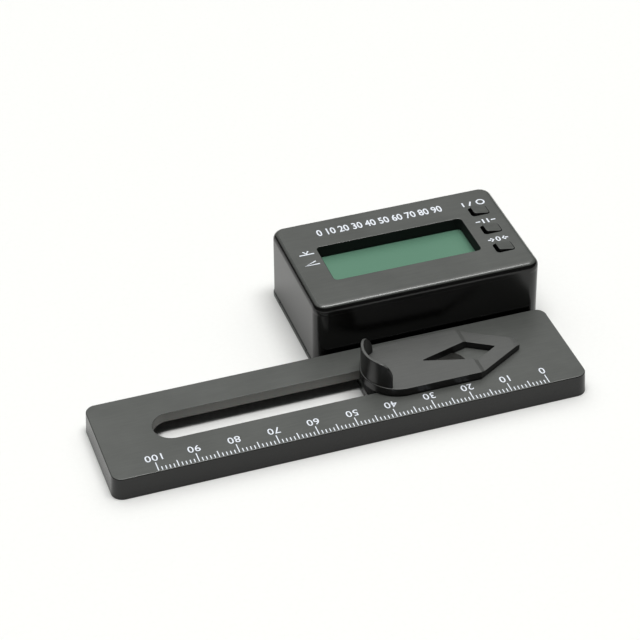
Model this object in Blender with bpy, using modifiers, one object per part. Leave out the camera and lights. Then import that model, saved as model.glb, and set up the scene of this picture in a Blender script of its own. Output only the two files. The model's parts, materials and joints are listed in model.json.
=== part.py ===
"""Digital pitch gauge: a slotted scale plate with a sliding pointer, and a display case fixed behind it.

Metres, +Z up. The scale plate runs along X with its numbered edge at the front (-Y). The origin is on
the table under the middle of the whole object. The pointer stands near the right end of its travel.
"""

import math

import bmesh
import bpy
from mathutils import Matrix, Vector

# Clearances and cuts
assembly_gap = 0.0003       # between pieces that touch when assembled
running_gap = 0.0003        # round pieces that slide
overrun = 0.0008            # how far a cutter passes the face that it opens

# Scale plate, sizes at its foot
plate_length = 0.12224
plate_width = 0.03001
plate_height = 0.00602
plate_draft = 0.000385      # how far each wall leans in from foot to top
plate_corner = 0.0030
plate_edge = 0.0005
plate_wall = 0.0025
deck_thickness = 0.0026
slot_width = 0.00967
slot_left_margin = 0.01422
slot_right_margin = 0.0270
slot_setback = 0.0009       # slot centre line behind the plate's middle
stop_thickness = 0.0012
stop_reach = 0.0020         # each stop lug beside the slot

# Pointer that slides along the plate
slider_width = 0.0185
slider_thickness = 0.00203
slider_setback = 0.0007     # pointer centre line behind the slot's
straight_length = 0.0190    # from the round end's centre to the crease
nose_length = 0.0135
nose_tip_width = 0.0025
nose_step = 0.00045
nose_step_run = 0.0007
tip_bevel_run = 0.0018
tip_bevel_drop = 0.0006
tip_reading = 0.0019        # what the tip reads on the scale at rest
zero_margin = 0.01072       # plate's right end to the scale's zero
window_shift = 0.00105      # window's widest place right of the crease
window_left_length = 0.01345
window_right_length = 0.00625
window_width = 0.0078
lip_inset = 0.0003
lip_thickness = 0.00085
lip_height = 0.0068
lip_front_corner = 0.0040
lip_back_corner = 0.0065
lip_half_angle = math.radians(63.5)
neck_length = 0.0147
neck_left_inset = 0.00015   # neck's round end behind the pointer's round end
retainer_length = 0.0134
retainer_width = 0.0140
retainer_thickness = 0.0015
retainer_corner = 0.0010
slider_screw_pitch = 0.0070

# Screws
screw_radius = 0.0008
screw_head_radius = 0.0016
screw_head_height = 0.0009
plate_screw_head_radius = 0.0014
plate_screw_height = 0.00175
plate_screw_bite = 0.0050
plate_screw_pitch = 0.0300

# Cells and contacts
cell_diameter = 0.0102
cell_length = 0.0445
cell_nub_radius = 0.0019
cell_nub_length = 0.0010
cell_spacing = 0.0005
spring_length = 0.0034
spring_wire_radius = 0.00025
spring_turns = 2.5
spring_small_radius = 0.0016
spring_large_radius = 0.0032
contact_thickness = 0.0004
contact_width = 0.0085

# Case
case_wall = 0.0020
case_corner = 0.0036
case_draft = 0.0003
case_inset = 0.00032        # case's right wall in from the plate's right end
case_floor = 0.0032
cover_height = 0.0024
cover_edge = 0.0019
body_edge = 0.0003
plinth_height = 0.0011
plinth_step = 0.0002        # plinth past the wall above it
end_room = 0.0044           # inside each end wall, for screws and keys
side_room = 0.00669         # inside each long wall, for screw posts
post_inset = 0.0022
post_radius = 0.0023
cover_post_radius = 0.00185
bay_wall = 0.0015
bay_wall_height = 0.0070

# Battery door, which slides out through the left wall's foot
door_clearance = 0.00015    # door's face above the table
door_panel = 0.0010
door_tongue = 0.0008
door_overlap = 0.00075      # tongue past the panel, each side
door_lip = 0.00085          # case floor under the tongue
grip_groove = 0.0006
grip_pitch = 0.0020
grip_count = 5

# Board and display
board_thickness = 0.0008
board_clearance = 0.0004
strip_height = 0.00055
strip_width = 0.0012
lcd_thickness = 0.0015
lcd_overlap = 0.00135       # glass past the window, each side
lcd_frame_wall = 0.0007
display_depth = 0.00347     # glass below the case's top
display_left_margin = 0.00885
display_right_margin = 0.01267
display_front_margin = 0.01076
display_back_margin = 0.01258
display_corner = 0.0011
well_wall = 0.0010
chip_length = 0.0080
sensor_length = 0.0030
chip_height = 0.0005
sensor_height = 0.0010

# Keys
key_length = 0.0044
key_width = 0.0033
key_proud = 0.00085         # a key's left end above the cover
key_slope = 0.0008          # its right end stands this much lower
key_corner = 0.0007
key_edge = 0.0003
key_flange = 0.00045
key_flange_height = 0.0006
key_travel = 0.0004
key_stop_gap = 0.0001
key_right_margin = 0.00688  # key centres in from the case's right wall
key_row_shift = 0.0006      # middle key in front of the case's centre line
key_pitch_share = 0.2257    # of the case's width
switch_length = 0.0044
switch_height = 0.0016
plunger_radius = 0.0011

# Smoothness, as counts
corner_segments = 6
edge_segments = 4
round_segments = 24
arc_steps = 28

# Heights worked out from the stack inside the case
door_tongue_base = door_clearance + door_panel
door_top = door_tongue_base + door_tongue
cell_base = door_top + assembly_gap
cell_middle = cell_base + cell_diameter / 2
board_base = cell_base + cell_diameter + board_clearance
board_top = board_base + board_thickness
strip_base = board_top + assembly_gap
lcd_base = strip_base + strip_height + assembly_gap
lcd_top = lcd_base + lcd_thickness
case_height = lcd_top + display_depth
cover_base = case_height - cover_height
body_height = cover_base - assembly_gap

# Case lengths worked out from the cells
bay_half = (cell_length + spring_length) / 2 + assembly_gap
contact_outer = bay_half + contact_thickness
bay_wall_inner = contact_outer + assembly_gap
case_inner_length = 2 * (contact_outer + end_room - contact_thickness)
case_inner_width = 2 * cell_diameter + cell_spacing + 2 * side_room
case_length = case_inner_length + 2 * case_wall
case_width = case_inner_width + 2 * case_wall

# Places in the whole object's frame
depth = plate_width + assembly_gap + case_width
plate_y = -depth / 2 + plate_width / 2
plate_right = plate_length / 2
case_x = plate_right - case_inset - case_length / 2
case_y = depth / 2 - case_width / 2
slot_y = plate_y + slot_setback
slot_left = -plate_length / 2 + slot_left_margin
slot_right = plate_right - slot_right_margin
slider_y = slot_y + slider_setback
deck_base = plate_height - deck_thickness
zero_x = plate_right - zero_margin
crease_x = zero_x - tip_reading - nose_length
round_x = crease_x - straight_length
slider_base = plate_height + running_gap
slider_top = slider_base + slider_thickness
slider_left = round_x - slider_width / 2
neck_left = slider_left + neck_left_inset
neck_right = neck_left + neck_length
neck_x = (neck_left + neck_right) / 2
retainer_top = deck_base - running_gap
retainer_base = retainer_top - retainer_thickness


def new_collection(name):
    collection = bpy.data.collections.new(name)
    bpy.context.scene.collection.children.link(collection)
    return collection


for old in list(bpy.data.objects):
    bpy.data.objects.remove(old, do_unlink=True)

parts = new_collection("digital_pitch_gauge")
cutters = new_collection("cutters")


def finish_material(name, colour, roughness, metallic=0.0):
    made = bpy.data.materials.new(name)
    made.use_nodes = True
    shader = made.node_tree.nodes["Principled BSDF"]
    shader.inputs["Base Color"].default_value = (*colour, 1.0)
    shader.inputs["Roughness"].default_value = roughness
    shader.inputs["Metallic"].default_value = metallic
    return made


black_plastic = ("black_plastic", (0.022, 0.022, 0.023), 0.38)
key_plastic = ("key_plastic", (0.03, 0.03, 0.031), 0.42)
display_glass = ("display_glass", (0.16, 0.31, 0.22), 0.12)
board_laminate = ("board_laminate", (0.02, 0.16, 0.07), 0.45)
chip_resin = ("chip_resin", (0.015, 0.015, 0.016), 0.5)
strip_rubber = ("strip_rubber", (0.35, 0.33, 0.31), 0.7)
plated_steel = ("plated_steel", (0.62, 0.61, 0.58), 0.3, 1.0)
cell_jacket = ("cell_jacket", (0.12, 0.13, 0.15), 0.35, 0.6)
materials = {}


def put_in(obj, collection, recipe=None):
    for owner in list(obj.users_collection):
        owner.objects.unlink(obj)
    collection.objects.link(obj)
    if collection is cutters:
        obj.hide_render = True
        obj.display_type = "WIRE"
    if recipe:
        if recipe[0] not in materials:
            materials[recipe[0]] = finish_material(*recipe)
        obj.data.materials.clear()
        # A copy, so that each sub-part owns its material
        own = materials[recipe[0]].copy()
        own.name = obj.name + "_material"
        obj.data.materials.append(own)
    return obj


def mesh_object(name, bm, location, smooth=True):
    mesh = bpy.data.meshes.new(name)
    bm.normal_update()
    bm.to_mesh(mesh)
    bm.free()
    if smooth:
        mesh.shade_smooth()
        mesh.set_sharp_from_angle(angle=math.radians(35))
    obj = bpy.data.objects.new(name, mesh)
    obj.location = location
    return obj


def round_edges(bm, edges, radius, segments):
    bmesh.ops.bevel(bm, geom=edges, offset=radius, segments=segments, profile=0.5, affect="EDGES")


def rounded_box(name, size, base, corner=0.0, edge=0.0, draft=0.0):
    """A box standing on base, with round upright corners, round top edges and walls that lean in."""
    length, width, height = size
    bm = bmesh.new()
    bmesh.ops.create_cube(bm, size=1.0)
    bmesh.ops.scale(bm, verts=bm.verts, vec=(length, width, height))
    bmesh.ops.translate(bm, verts=bm.verts, vec=(0, 0, height / 2))
    middle = height / 2
    for vert in bm.verts:
        if draft and vert.co.z > middle:
            vert.co.x -= math.copysign(draft, vert.co.x)
            vert.co.y -= math.copysign(draft, vert.co.y)
    if corner:
        upright = [e for e in bm.edges if (e.verts[0].co.z > middle) != (e.verts[1].co.z > middle)]
        round_edges(bm, upright, corner, corner_segments)
    if edge:
        rim = [e for e in bm.edges if all(v.co.z > middle for v in e.verts)]
        round_edges(bm, rim, edge, edge_segments)
    return mesh_object(name, bm, base)


def cylinder(name, radius, height, base, along="Z", segments=round_segments):
    """A cylinder from base along +X, +Y or +Z."""
    bm = bmesh.new()
    bmesh.ops.create_cone(bm, cap_ends=True, segments=segments, radius1=radius, radius2=radius, depth=height)
    bmesh.ops.translate(bm, verts=bm.verts, vec=(0, 0, height / 2))
    turn = {"X": Matrix.Rotation(math.pi / 2, 4, "Y"), "Y": Matrix.Rotation(-math.pi / 2, 4, "X")}
    if along in turn:
        bmesh.ops.transform(bm, matrix=turn[along], verts=bm.verts)
    return mesh_object(name, bm, base)


def outline_solid(name, outlines, thickness, location, upright=False):
    """A flat curve with holes, made solid. Upright turns its Y to +Z."""
    curve = bpy.data.curves.new(name, "CURVE")
    curve.dimensions = "2D"
    curve.fill_mode = "BOTH"
    curve.extrude = thickness / 2
    for points in outlines:
        spline = curve.splines.new("POLY")
        spline.points.add(len(points) - 1)
        for point, (x, y) in zip(spline.points, points):
            point.co = (x, y, 0, 1)
        spline.use_cyclic_u = True
    return curve_to_mesh(name, curve, location, (math.pi / 2, 0, 0) if upright else (0, 0, 0))


def curve_to_mesh(name, curve, location, rotation=(0, 0, 0)):
    guide = bpy.data.objects.new(name + "_curve", curve)
    bpy.context.scene.collection.objects.link(guide)
    bpy.context.view_layer.update()
    mesh = bpy.data.meshes.new_from_object(guide.evaluated_get(bpy.context.evaluated_depsgraph_get()))
    bpy.data.objects.remove(guide, do_unlink=True)
    bm = bmesh.new()
    bm.from_mesh(mesh)
    bpy.data.meshes.remove(mesh)
    bmesh.ops.remove_doubles(bm, verts=bm.verts, dist=overrun / 1000)
    bmesh.ops.recalc_face_normals(bm, faces=bm.faces)
    obj = mesh_object(name, bm, location)
    obj.rotation_euler = rotation
    return obj


def turned(name, profile, location, rotation=(0, 0, 0), segments=round_segments):
    """A turned piece: profile is (radius, height) from the axis at the top round to the axis at the foot."""
    mesh = bpy.data.meshes.new(name)
    points = [(radius, 0, height) for radius, height in profile]
    mesh.from_pydata(points, [(i, i + 1) for i in range(len(points) - 1)], [])
    obj = bpy.data.objects.new(name, mesh)
    obj.location = location
    obj.rotation_euler = rotation
    screw = obj.modifiers.new("turn", "SCREW")
    screw.axis = "Z"
    screw.steps = segments
    screw.render_steps = segments
    screw.use_merge_vertices = True
    screw.merge_threshold = 0.00001
    screw.use_smooth_shade = True
    return obj


def change(obj, operation, tool):
    """Cuts tool from obj, or joins it on, and keeps tool among the cutters."""
    put_in(tool, cutters)
    modifier = obj.modifiers.new(tool.name, "BOOLEAN")
    modifier.operation = operation
    modifier.solver = "EXACT"
    modifier.object = tool


def cut(obj, *tools):
    for tool in tools:
        change(obj, "DIFFERENCE", tool)


def join(obj, *tools):
    for tool in tools:
        change(obj, "UNION", tool)


def add(obj, recipe):
    return put_in(obj, parts, recipe)


def arc(centre_x, radius, start, end, steps):
    """Points on an arc about (centre_x, 0), with angles from +X."""
    angles = [start + (end - start) * i / steps for i in range(steps + 1)]
    return [(centre_x + radius * math.cos(a), radius * math.sin(a)) for a in angles]


def slotted_outline(left, right, width):
    """A slot with round ends, about Y 0."""
    radius = width / 2
    points = arc(right - radius, radius, -math.pi / 2, math.pi / 2, arc_steps // 2)
    return points + arc(left + radius, radius, math.pi / 2, 3 * math.pi / 2, arc_steps // 2)


def screw_profile(head_radius, length):
    """Head at the foot, shank above it."""
    return [(0, screw_head_height + length), (screw_radius, screw_head_height + length),
            (screw_radius, screw_head_height), (head_radius, screw_head_height), (head_radius, 0), (0, 0)]


def make_plate():
    plate = rounded_box("base_plate", (plate_length, plate_width, plate_height), (0, plate_y, 0),
                        plate_corner, plate_edge, plate_draft)
    inner_length = plate_length - 2 * plate_wall
    inner_width = plate_width - 2 * plate_wall
    cut(plate, rounded_box("plate_hollow", (inner_length, inner_width, deck_base + overrun),
                           (0, plate_y, -overrun), plate_corner - plate_wall / 2))
    # Two lugs under the deck keep the pointer's tip from passing zero
    stop_x = neck_x + retainer_length / 2 + tip_reading + running_gap + stop_thickness / 2
    stop_height = deck_base + deck_thickness / 2 - assembly_gap
    join(plate, rounded_box("slider_stop", (stop_thickness, slot_width + 2 * stop_reach, stop_height),
                            (stop_x, slot_y, assembly_gap)))
    cut(plate, outline_solid("plate_slot", [slotted_outline(slot_left, slot_right, slot_width)],
                             plate_height + 2 * overrun, (0, slot_y, plate_height / 2)))
    for x in plate_screw_places():
        cut(plate, cylinder("plate_screw_bore", screw_radius + assembly_gap, plate_wall + 2 * overrun,
                            (x, plate_y + inner_width / 2 - overrun, plate_screw_height), "Y"))
    return add(plate, black_plastic)


def plate_screw_places():
    return [case_x - plate_screw_pitch / 2, case_x + plate_screw_pitch / 2]


def slider_outline():
    half = slider_width / 2
    points = arc(round_x, half, math.pi / 2, 3 * math.pi / 2, arc_steps)
    tip_x = crease_x + nose_length
    tip = nose_tip_width / 2
    return points + [(crease_x, -half), (tip_x, -tip), (tip_x, tip), (crease_x, half)]


def make_lip():
    """The thumb lip: a wall on the pointer's round end, with round upper corners."""
    radius = slider_width / 2 - lip_inset
    sunk = slider_thickness / 2
    bm = bmesh.new()
    rows = []
    for step in range(arc_steps + 1):
        # Columns crowd towards the ends, where the top edge is round
        angle = lip_half_angle * math.sin(math.pi / 2 * (2 * step / arc_steps - 1))
        corner = lip_back_corner if angle > 0 else lip_front_corner
        corner_angle = corner / radius
        into_corner = max(0.0, (abs(angle) - lip_half_angle + corner_angle) / corner_angle)
        top = lip_height - corner + corner * math.sqrt(max(0.0, 1 - into_corner ** 2))
        x, y = -radius * math.cos(angle), radius * math.sin(angle)
        rows.append([bm.verts.new((x, y, z)) for z in (-sunk, 0, top)])
    for near, far in zip(rows, rows[1:]):
        for level in (0, 1):
            bm.faces.new((near[level], far[level], far[level + 1], near[level + 1]))
    bmesh.ops.recalc_face_normals(bm, faces=bm.faces)
    lip = mesh_object("thumb_lip", bm, (round_x, slider_y, slider_top))
    shell = lip.modifiers.new("thickness", "SOLIDIFY")
    shell.thickness = lip_thickness
    shell.offset = -1 if bm_faces_outward(lip) else 1
    return lip


def bm_faces_outward(obj):
    """True where the open wall's first face looks away from its axis."""
    face = obj.data.polygons[0]
    return face.normal.dot(Vector((face.center.x, face.center.y, 0))) > 0


def make_slider():
    window_x = crease_x + window_shift
    window = [(window_x - window_left_length, 0), (window_x, window_width / 2),
              (window_x + window_right_length, 0), (window_x, -window_width / 2)]
    slider = outline_solid("slider_plate", [slider_outline(), window], slider_thickness,
                           (0, slider_y, slider_base + slider_thickness / 2))
    tip_x = crease_x + nose_length
    nose_z = slider_top - nose_step
    above = slider_top + overrun
    past = tip_x + overrun
    shape = [(crease_x, above), (crease_x, slider_top), (crease_x + nose_step_run, nose_z),
             (tip_x - tip_bevel_run, nose_z), (tip_x, nose_z - tip_bevel_drop),
             (past, nose_z - tip_bevel_drop), (past, above)]
    cut(slider, outline_solid("nose_relief", [shape], slider_width + 2 * overrun, (0, slider_y, 0), True))
    join(slider, make_lip())
    neck_top = slider_base + slider_thickness / 2
    neck_outline = slotted_outline(neck_left, neck_right, slot_width - 2 * running_gap)
    join(slider, outline_solid("slider_neck", [neck_outline], neck_top - deck_base,
                               (0, slot_y, (neck_top + deck_base) / 2)))
    for x in slider_screw_places():
        cut(slider, cylinder("slider_screw_bore", screw_radius + assembly_gap, deck_thickness + overrun,
                             (x, slot_y, deck_base - overrun)))
    return add(slider, black_plastic)


def slider_screw_places():
    return [neck_x - slider_screw_pitch / 2, neck_x + slider_screw_pitch / 2]


def make_retainer():
    retainer = rounded_box("slider_retainer", (retainer_length, retainer_width, retainer_thickness),
                           (neck_x, slot_y, retainer_base), retainer_corner)
    for number, x in enumerate(slider_screw_places()):
        cut(retainer, cylinder("retainer_bore", screw_radius + assembly_gap, retainer_thickness + 2 * overrun,
                               (x, slot_y, retainer_base - overrun)))
        length = retainer_thickness + running_gap + deck_thickness - assembly_gap
        screw = turned("slider_screw_%d" % (number + 1), screw_profile(screw_head_radius, length),
                       (x, slot_y, retainer_base - assembly_gap - screw_head_height))
        add(screw, plated_steel)
    return add(retainer, black_plastic)


def post_places():
    x = case_inner_length / 2 - post_inset
    y = case_inner_width / 2 - post_inset
    return [(case_x + sx * x, case_y + sy * y) for sx in (-1, 1) for sy in (-1, 1)]


def wall_inset(height):
    """How far the case's wall stands in from the plinth at a height."""
    return plinth_step + (case_draft - plinth_step) * height / case_height


def make_case_body():
    foot, top = wall_inset(0), wall_inset(body_height)
    body = rounded_box("case_body", (case_length - 2 * foot, case_width - 2 * foot, body_height),
                       (case_x, case_y, 0), case_corner, body_edge, top - foot)
    join(body, rounded_box("case_plinth", (case_length, case_width, plinth_height),
                           (case_x, case_y, 0), case_corner))
    hollow_height = body_height - case_floor + overrun
    cut(body, rounded_box("case_hollow", (case_inner_length, case_inner_width, hollow_height),
                          (case_x, case_y, case_floor), case_corner - case_wall))
    for x, y in post_places():
        join(body, cylinder("case_post", post_radius, board_base - assembly_gap - case_floor / 2,
                            (x, y, case_floor / 2)))
    for side in (-1, 1):
        join(body, rounded_box("bay_wall", (bay_wall, 2 * cell_diameter, bay_wall_height + case_floor / 2),
                               (case_x + side * (bay_wall_inner + bay_wall / 2), case_y, case_floor / 2)))
    head_room = screw_head_height + 2 * assembly_gap + door_clearance
    for x, y in post_places():
        cut(body, cylinder("case_screw_seat", screw_head_radius + assembly_gap, head_room + overrun,
                           (x, y, -overrun)))
        cut(body, cylinder("case_screw_bore", screw_radius + assembly_gap, board_base + 2 * overrun,
                           (x, y, -overrun)))
    cut_door_slot(body)
    hole_depth = plate_screw_bite + assembly_gap
    for x in plate_screw_places():
        cut(body, cylinder("plate_screw_hole", screw_radius + assembly_gap, hole_depth + overrun,
                           (x, case_y - case_width / 2 - overrun, plate_screw_height), "Y"))
    return add(body, black_plastic)


def door_sizes():
    """Half widths of the door's panel and tongue, and how far right the door reaches."""
    panel = cell_diameter + cell_spacing / 2
    return panel, panel + door_overlap, bay_half - assembly_gap


def cut_door_slot(body):
    panel, tongue, reach = door_sizes()
    left = -case_length / 2 - overrun
    right = reach + assembly_gap
    length, middle = right - left, case_x + (left + right) / 2
    cut(body, rounded_box("door_opening", (length, 2 * (panel + running_gap), door_tongue_base + overrun),
                          (middle, case_y, -overrun)))
    groove_top = door_top + running_gap
    cut(body, rounded_box("door_groove", (length, 2 * (tongue + running_gap), groove_top - door_lip),
                          (middle, case_y, door_lip)))
    opening = (2 * bay_half - assembly_gap, 2 * panel + running_gap, case_floor + overrun - door_tongue_base)
    cut(body, rounded_box("bay_opening", opening, (case_x, case_y, door_tongue_base)))


def make_door():
    panel, tongue, reach = door_sizes()
    length = reach + case_length / 2
    middle = case_x + (reach - case_length / 2) / 2
    door = rounded_box("battery_door", (length, 2 * tongue, door_tongue), (middle, case_y, door_tongue_base))
    join(door, rounded_box("door_panel", (length - assembly_gap, 2 * panel, door_panel + door_tongue / 2),
                           (middle, case_y, door_clearance)))
    for number in range(grip_count):
        x = case_x - case_length / 2 + case_wall + (number + 1) * grip_pitch
        cut(door, rounded_box("door_grip_%d" % (number + 1), (grip_groove, panel, grip_groove + overrun),
                              (x, case_y, door_clearance - overrun)))
    return add(door, black_plastic)


def window_box():
    """Middle and size of the display window, in the whole object's frame."""
    length = case_length - display_left_margin - display_right_margin
    width = case_width - display_front_margin - display_back_margin
    x = case_x + (display_left_margin - display_right_margin) / 2
    y = case_y + (display_front_margin - display_back_margin) / 2
    return x, y, length, width


def key_places():
    x = case_x + case_length / 2 - key_right_margin
    middle = case_y - key_row_shift
    pitch = key_pitch_share * case_width
    names = ("power_button", "hold_button", "zero_button")
    return [(name, x, middle + row * pitch) for name, row in zip(names, (1, 0, -1))]


def make_cover():
    foot, top = wall_inset(cover_base), wall_inset(case_height)
    size = (case_length - 2 * foot, case_width - 2 * foot, cover_height)
    cover = rounded_box("top_cover", size, (case_x, case_y, cover_base), case_corner, cover_edge, top - foot)
    x, y, length, width = window_box()
    well_base = lcd_top + assembly_gap
    join(cover, rounded_box("window_well", (length + 2 * well_wall, width + 2 * well_wall,
                                            cover_base + cover_height / 2 - well_base),
                            (x, y, well_base), display_corner + well_wall))
    post_base = board_top + assembly_gap
    for px, py in post_places():
        join(cover, cylinder("cover_post", cover_post_radius, cover_base + cover_height / 2 - post_base,
                             (px, py, post_base)))
        cut(cover, cylinder("cover_post_bore", screw_radius + assembly_gap, cover_base - post_base + overrun,
                            (px, py, post_base - overrun)))
    cut(cover, rounded_box("window_cut", (length, width, case_height - well_base + 2 * overrun),
                           (x, y, well_base - overrun), display_corner))
    for name, kx, ky in key_places():
        cut(cover, rounded_box(name + "_hole", (key_length + 2 * running_gap, key_width + 2 * running_gap,
                                                cover_height + 2 * overrun),
                               (kx, ky, cover_base - overrun), key_corner + running_gap))
    return add(cover, black_plastic)


def make_case_screws():
    base = door_clearance + assembly_gap
    tip = cover_base - assembly_gap
    for number, (x, y) in enumerate(post_places()):
        screw = turned("case_screw_%d" % (number + 1),
                       screw_profile(screw_head_radius, tip - base - screw_head_height), (x, y, base))
        add(screw, plated_steel)


def make_plate_screws():
    wall_inner = plate_y + plate_width / 2 - plate_wall
    length = plate_wall + assembly_gap + plate_screw_bite
    for number, x in enumerate(plate_screw_places()):
        screw = turned("plate_screw_%d" % (number + 1), screw_profile(plate_screw_head_radius, length),
                       (x, wall_inner - assembly_gap - screw_head_height, plate_screw_height),
                       (-math.pi / 2, 0, 0))
        add(screw, plated_steel)


def make_cells():
    """Two cells side by side, head to tail, each with its nub on a flat contact and its foot on a spring."""
    row = (cell_diameter + cell_spacing) / 2
    for number, side in enumerate((1, -1)):
        radius = cell_diameter / 2
        rim = cell_length - cell_nub_length
        round_off = cell_nub_length / 2
        profile = [(0, cell_length), (cell_nub_radius, cell_length), (cell_nub_radius, rim),
                   (radius - round_off, rim), (radius, rim - round_off), (radius, round_off),
                   (radius - round_off, 0), (0, 0)]
        start = -cell_length / 2 + spring_length / 2
        cell = turned("battery_%d" % (number + 1), profile,
                      (case_x + side * start, case_y + side * row, cell_middle), (0, side * math.pi / 2, 0))
        add(cell, cell_jacket)
        add(make_spring(number, side, row), plated_steel)


def make_spring(number, side, row):
    """A cone of wire between a cell's foot and the contact behind it."""
    free = spring_length - 2 * assembly_gap - 2 * spring_wire_radius
    steps = int(spring_turns * 14)
    curve = bpy.data.curves.new("battery_spring", "CURVE")
    curve.dimensions = "3D"
    curve.bevel_depth = spring_wire_radius
    curve.bevel_resolution = 1
    curve.use_fill_caps = True
    spline = curve.splines.new("POLY")
    spline.points.add(steps)
    for step, point in enumerate(spline.points):
        along = step / steps
        radius = spring_large_radius + (spring_small_radius - spring_large_radius) * along
        angle = 2 * math.pi * spring_turns * along
        point.co = (side * free * (along - 1), radius * math.cos(angle), radius * math.sin(angle), 1)
    foot = -side * (cell_length / 2 - spring_length / 2 + assembly_gap + spring_wire_radius)
    place = (case_x + foot, case_y + side * row, cell_middle)
    return curve_to_mesh("battery_spring_%d" % (number + 1), curve, place)


def make_contacts():
    row = (cell_diameter + cell_spacing) / 2
    base = case_floor + assembly_gap
    height = board_base - assembly_gap - base
    middle = bay_half + contact_thickness / 2
    add(rounded_box("contact_bridge", (contact_thickness, contact_width + 2 * row, height),
                    (case_x + middle, case_y, base)), plated_steel)
    for name, side in (("contact_negative", 1), ("contact_positive", -1)):
        add(rounded_box(name, (contact_thickness, contact_width, height),
                        (case_x - middle, case_y + side * row, base)), plated_steel)


def make_board():
    size = (case_inner_length - 2 * assembly_gap, case_inner_width - 2 * assembly_gap, board_thickness)
    board = rounded_box("circuit_board", size, (case_x, case_y, board_base), case_corner - case_wall)
    for x, y in post_places():
        cut(board, cylinder("board_hole", screw_radius + assembly_gap, board_thickness + 2 * overrun,
                            (x, y, board_base - overrun)))
    add(board, board_laminate)
    chip_x, chip_y = window_box()[:2]
    chip_size = (chip_length, chip_length, chip_height)
    add(rounded_box("controller_chip", chip_size, (chip_x, chip_y, strip_base)), chip_resin)
    sensor_x = case_x - case_inner_length / 2 + sensor_length / 2 + 2 * assembly_gap
    sensor_size = (sensor_length, sensor_length, sensor_height)
    add(rounded_box("tilt_sensor", sensor_size, (sensor_x, case_y, strip_base)), chip_resin)


def make_display():
    x, y, length, width = window_box()
    glass_length = length + 2 * lcd_overlap
    glass_width = width + 2 * lcd_overlap
    add(rounded_box("lcd_panel", (glass_length, glass_width, lcd_thickness), (x, y, lcd_base)), display_glass)
    inner_length = glass_length + 2 * assembly_gap
    inner_width = glass_width + 2 * assembly_gap
    frame_height = lcd_top - strip_base
    outer = (inner_length + 2 * lcd_frame_wall, inner_width + 2 * lcd_frame_wall, frame_height)
    frame = rounded_box("lcd_frame", outer, (x, y, strip_base), lcd_frame_wall)
    cut(frame, rounded_box("lcd_frame_hollow", (inner_length, inner_width, frame_height + 2 * overrun),
                           (x, y, strip_base - overrun)))
    add(frame, chip_resin)
    strip_size = (length, strip_width, strip_height)
    for number, side in enumerate((-1, 1)):
        place = (x, y + side * (glass_width / 2 - strip_width), strip_base)
        add(rounded_box("contact_strip_%d" % (number + 1), strip_size, place), strip_rubber)


def slope_top(key, height):
    """Lowers the top of a key towards its right end. Height is the key's own."""
    for vert in key.data.vertices:
        if vert.co.z > height / 2:
            vert.co.z -= key_slope * (vert.co.x + key_length / 2) / key_length


def make_keys():
    """Three keys, each held under the cover by its flange and standing over its own switch."""
    switch_top = board_top + assembly_gap + switch_height
    flange_top = cover_base - running_gap
    key_base = flange_top - key_flange_height
    plunger_top = key_base - key_travel - key_stop_gap
    key_height = case_height + key_proud - key_base
    for number, (name, x, y) in enumerate(key_places()):
        key = rounded_box(name, (key_length, key_width, key_height), (x, y, key_base), key_corner, key_edge)
        slope_top(key, key_height)
        join(key, rounded_box(name + "_flange", (key_length + 2 * key_flange, key_width + 2 * key_flange,
                                                 key_flange_height), (x, y, key_base)))
        add(key, key_plastic)
        switch = rounded_box("key_switch_%d" % (number + 1), (switch_length, switch_length, switch_height),
                             (x, y, board_top + assembly_gap))
        plunger_base = switch_top - switch_height / 2
        join(switch, cylinder("plunger_%d" % (number + 1), plunger_radius, plunger_top - plunger_base,
                              (x, y, plunger_base)))
        add(switch, chip_resin)


make_plate()
make_slider()
make_retainer()
make_case_body()
make_door()
make_cover()
make_case_screws()
make_plate_screws()
make_cells()
make_contacts()
make_board()
make_display()
make_keys()
bpy.context.view_layer.update()
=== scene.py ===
import json
import math

import bmesh
import bpy
from mathutils import Matrix, Vector


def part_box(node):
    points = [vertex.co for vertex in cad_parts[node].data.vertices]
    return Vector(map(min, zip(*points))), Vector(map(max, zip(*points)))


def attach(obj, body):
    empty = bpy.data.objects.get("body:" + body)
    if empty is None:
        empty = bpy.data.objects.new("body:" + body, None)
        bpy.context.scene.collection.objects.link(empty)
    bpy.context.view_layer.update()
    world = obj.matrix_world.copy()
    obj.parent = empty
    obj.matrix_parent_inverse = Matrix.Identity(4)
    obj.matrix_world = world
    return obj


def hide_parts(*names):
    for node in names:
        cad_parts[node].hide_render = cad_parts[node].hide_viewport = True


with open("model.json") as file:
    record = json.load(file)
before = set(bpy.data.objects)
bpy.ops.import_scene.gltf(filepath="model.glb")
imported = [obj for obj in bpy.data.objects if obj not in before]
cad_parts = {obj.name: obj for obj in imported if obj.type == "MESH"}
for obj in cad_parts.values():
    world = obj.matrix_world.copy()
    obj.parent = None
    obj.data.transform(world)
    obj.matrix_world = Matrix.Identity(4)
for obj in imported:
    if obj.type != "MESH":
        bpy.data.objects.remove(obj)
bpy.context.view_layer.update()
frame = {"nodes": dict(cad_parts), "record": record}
mm = 0.001
sharpAngle = 38         # degrees between two faces from which their edge is drawn sharp
farOff = 100 * mm       # a point far along a leg, which only gives the leg's direction
beyond = 1 * mm         # how far a cutter reaches past the surface that it cuts
touching = 1e-7         # points nearer than this, in metres, are one
bodyOf = {node: body for body, nodes in frame["record"]["behaviour"]["bodies"].items() for node in nodes}
print("frame loaded,", len(frame["nodes"]), "nodes")


# Lowest corner, highest corner, middle and size of a node, read from the frame
def boxOf(node):
    low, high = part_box(node)
    return low, high, (low + high) / 2, high - low


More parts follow.
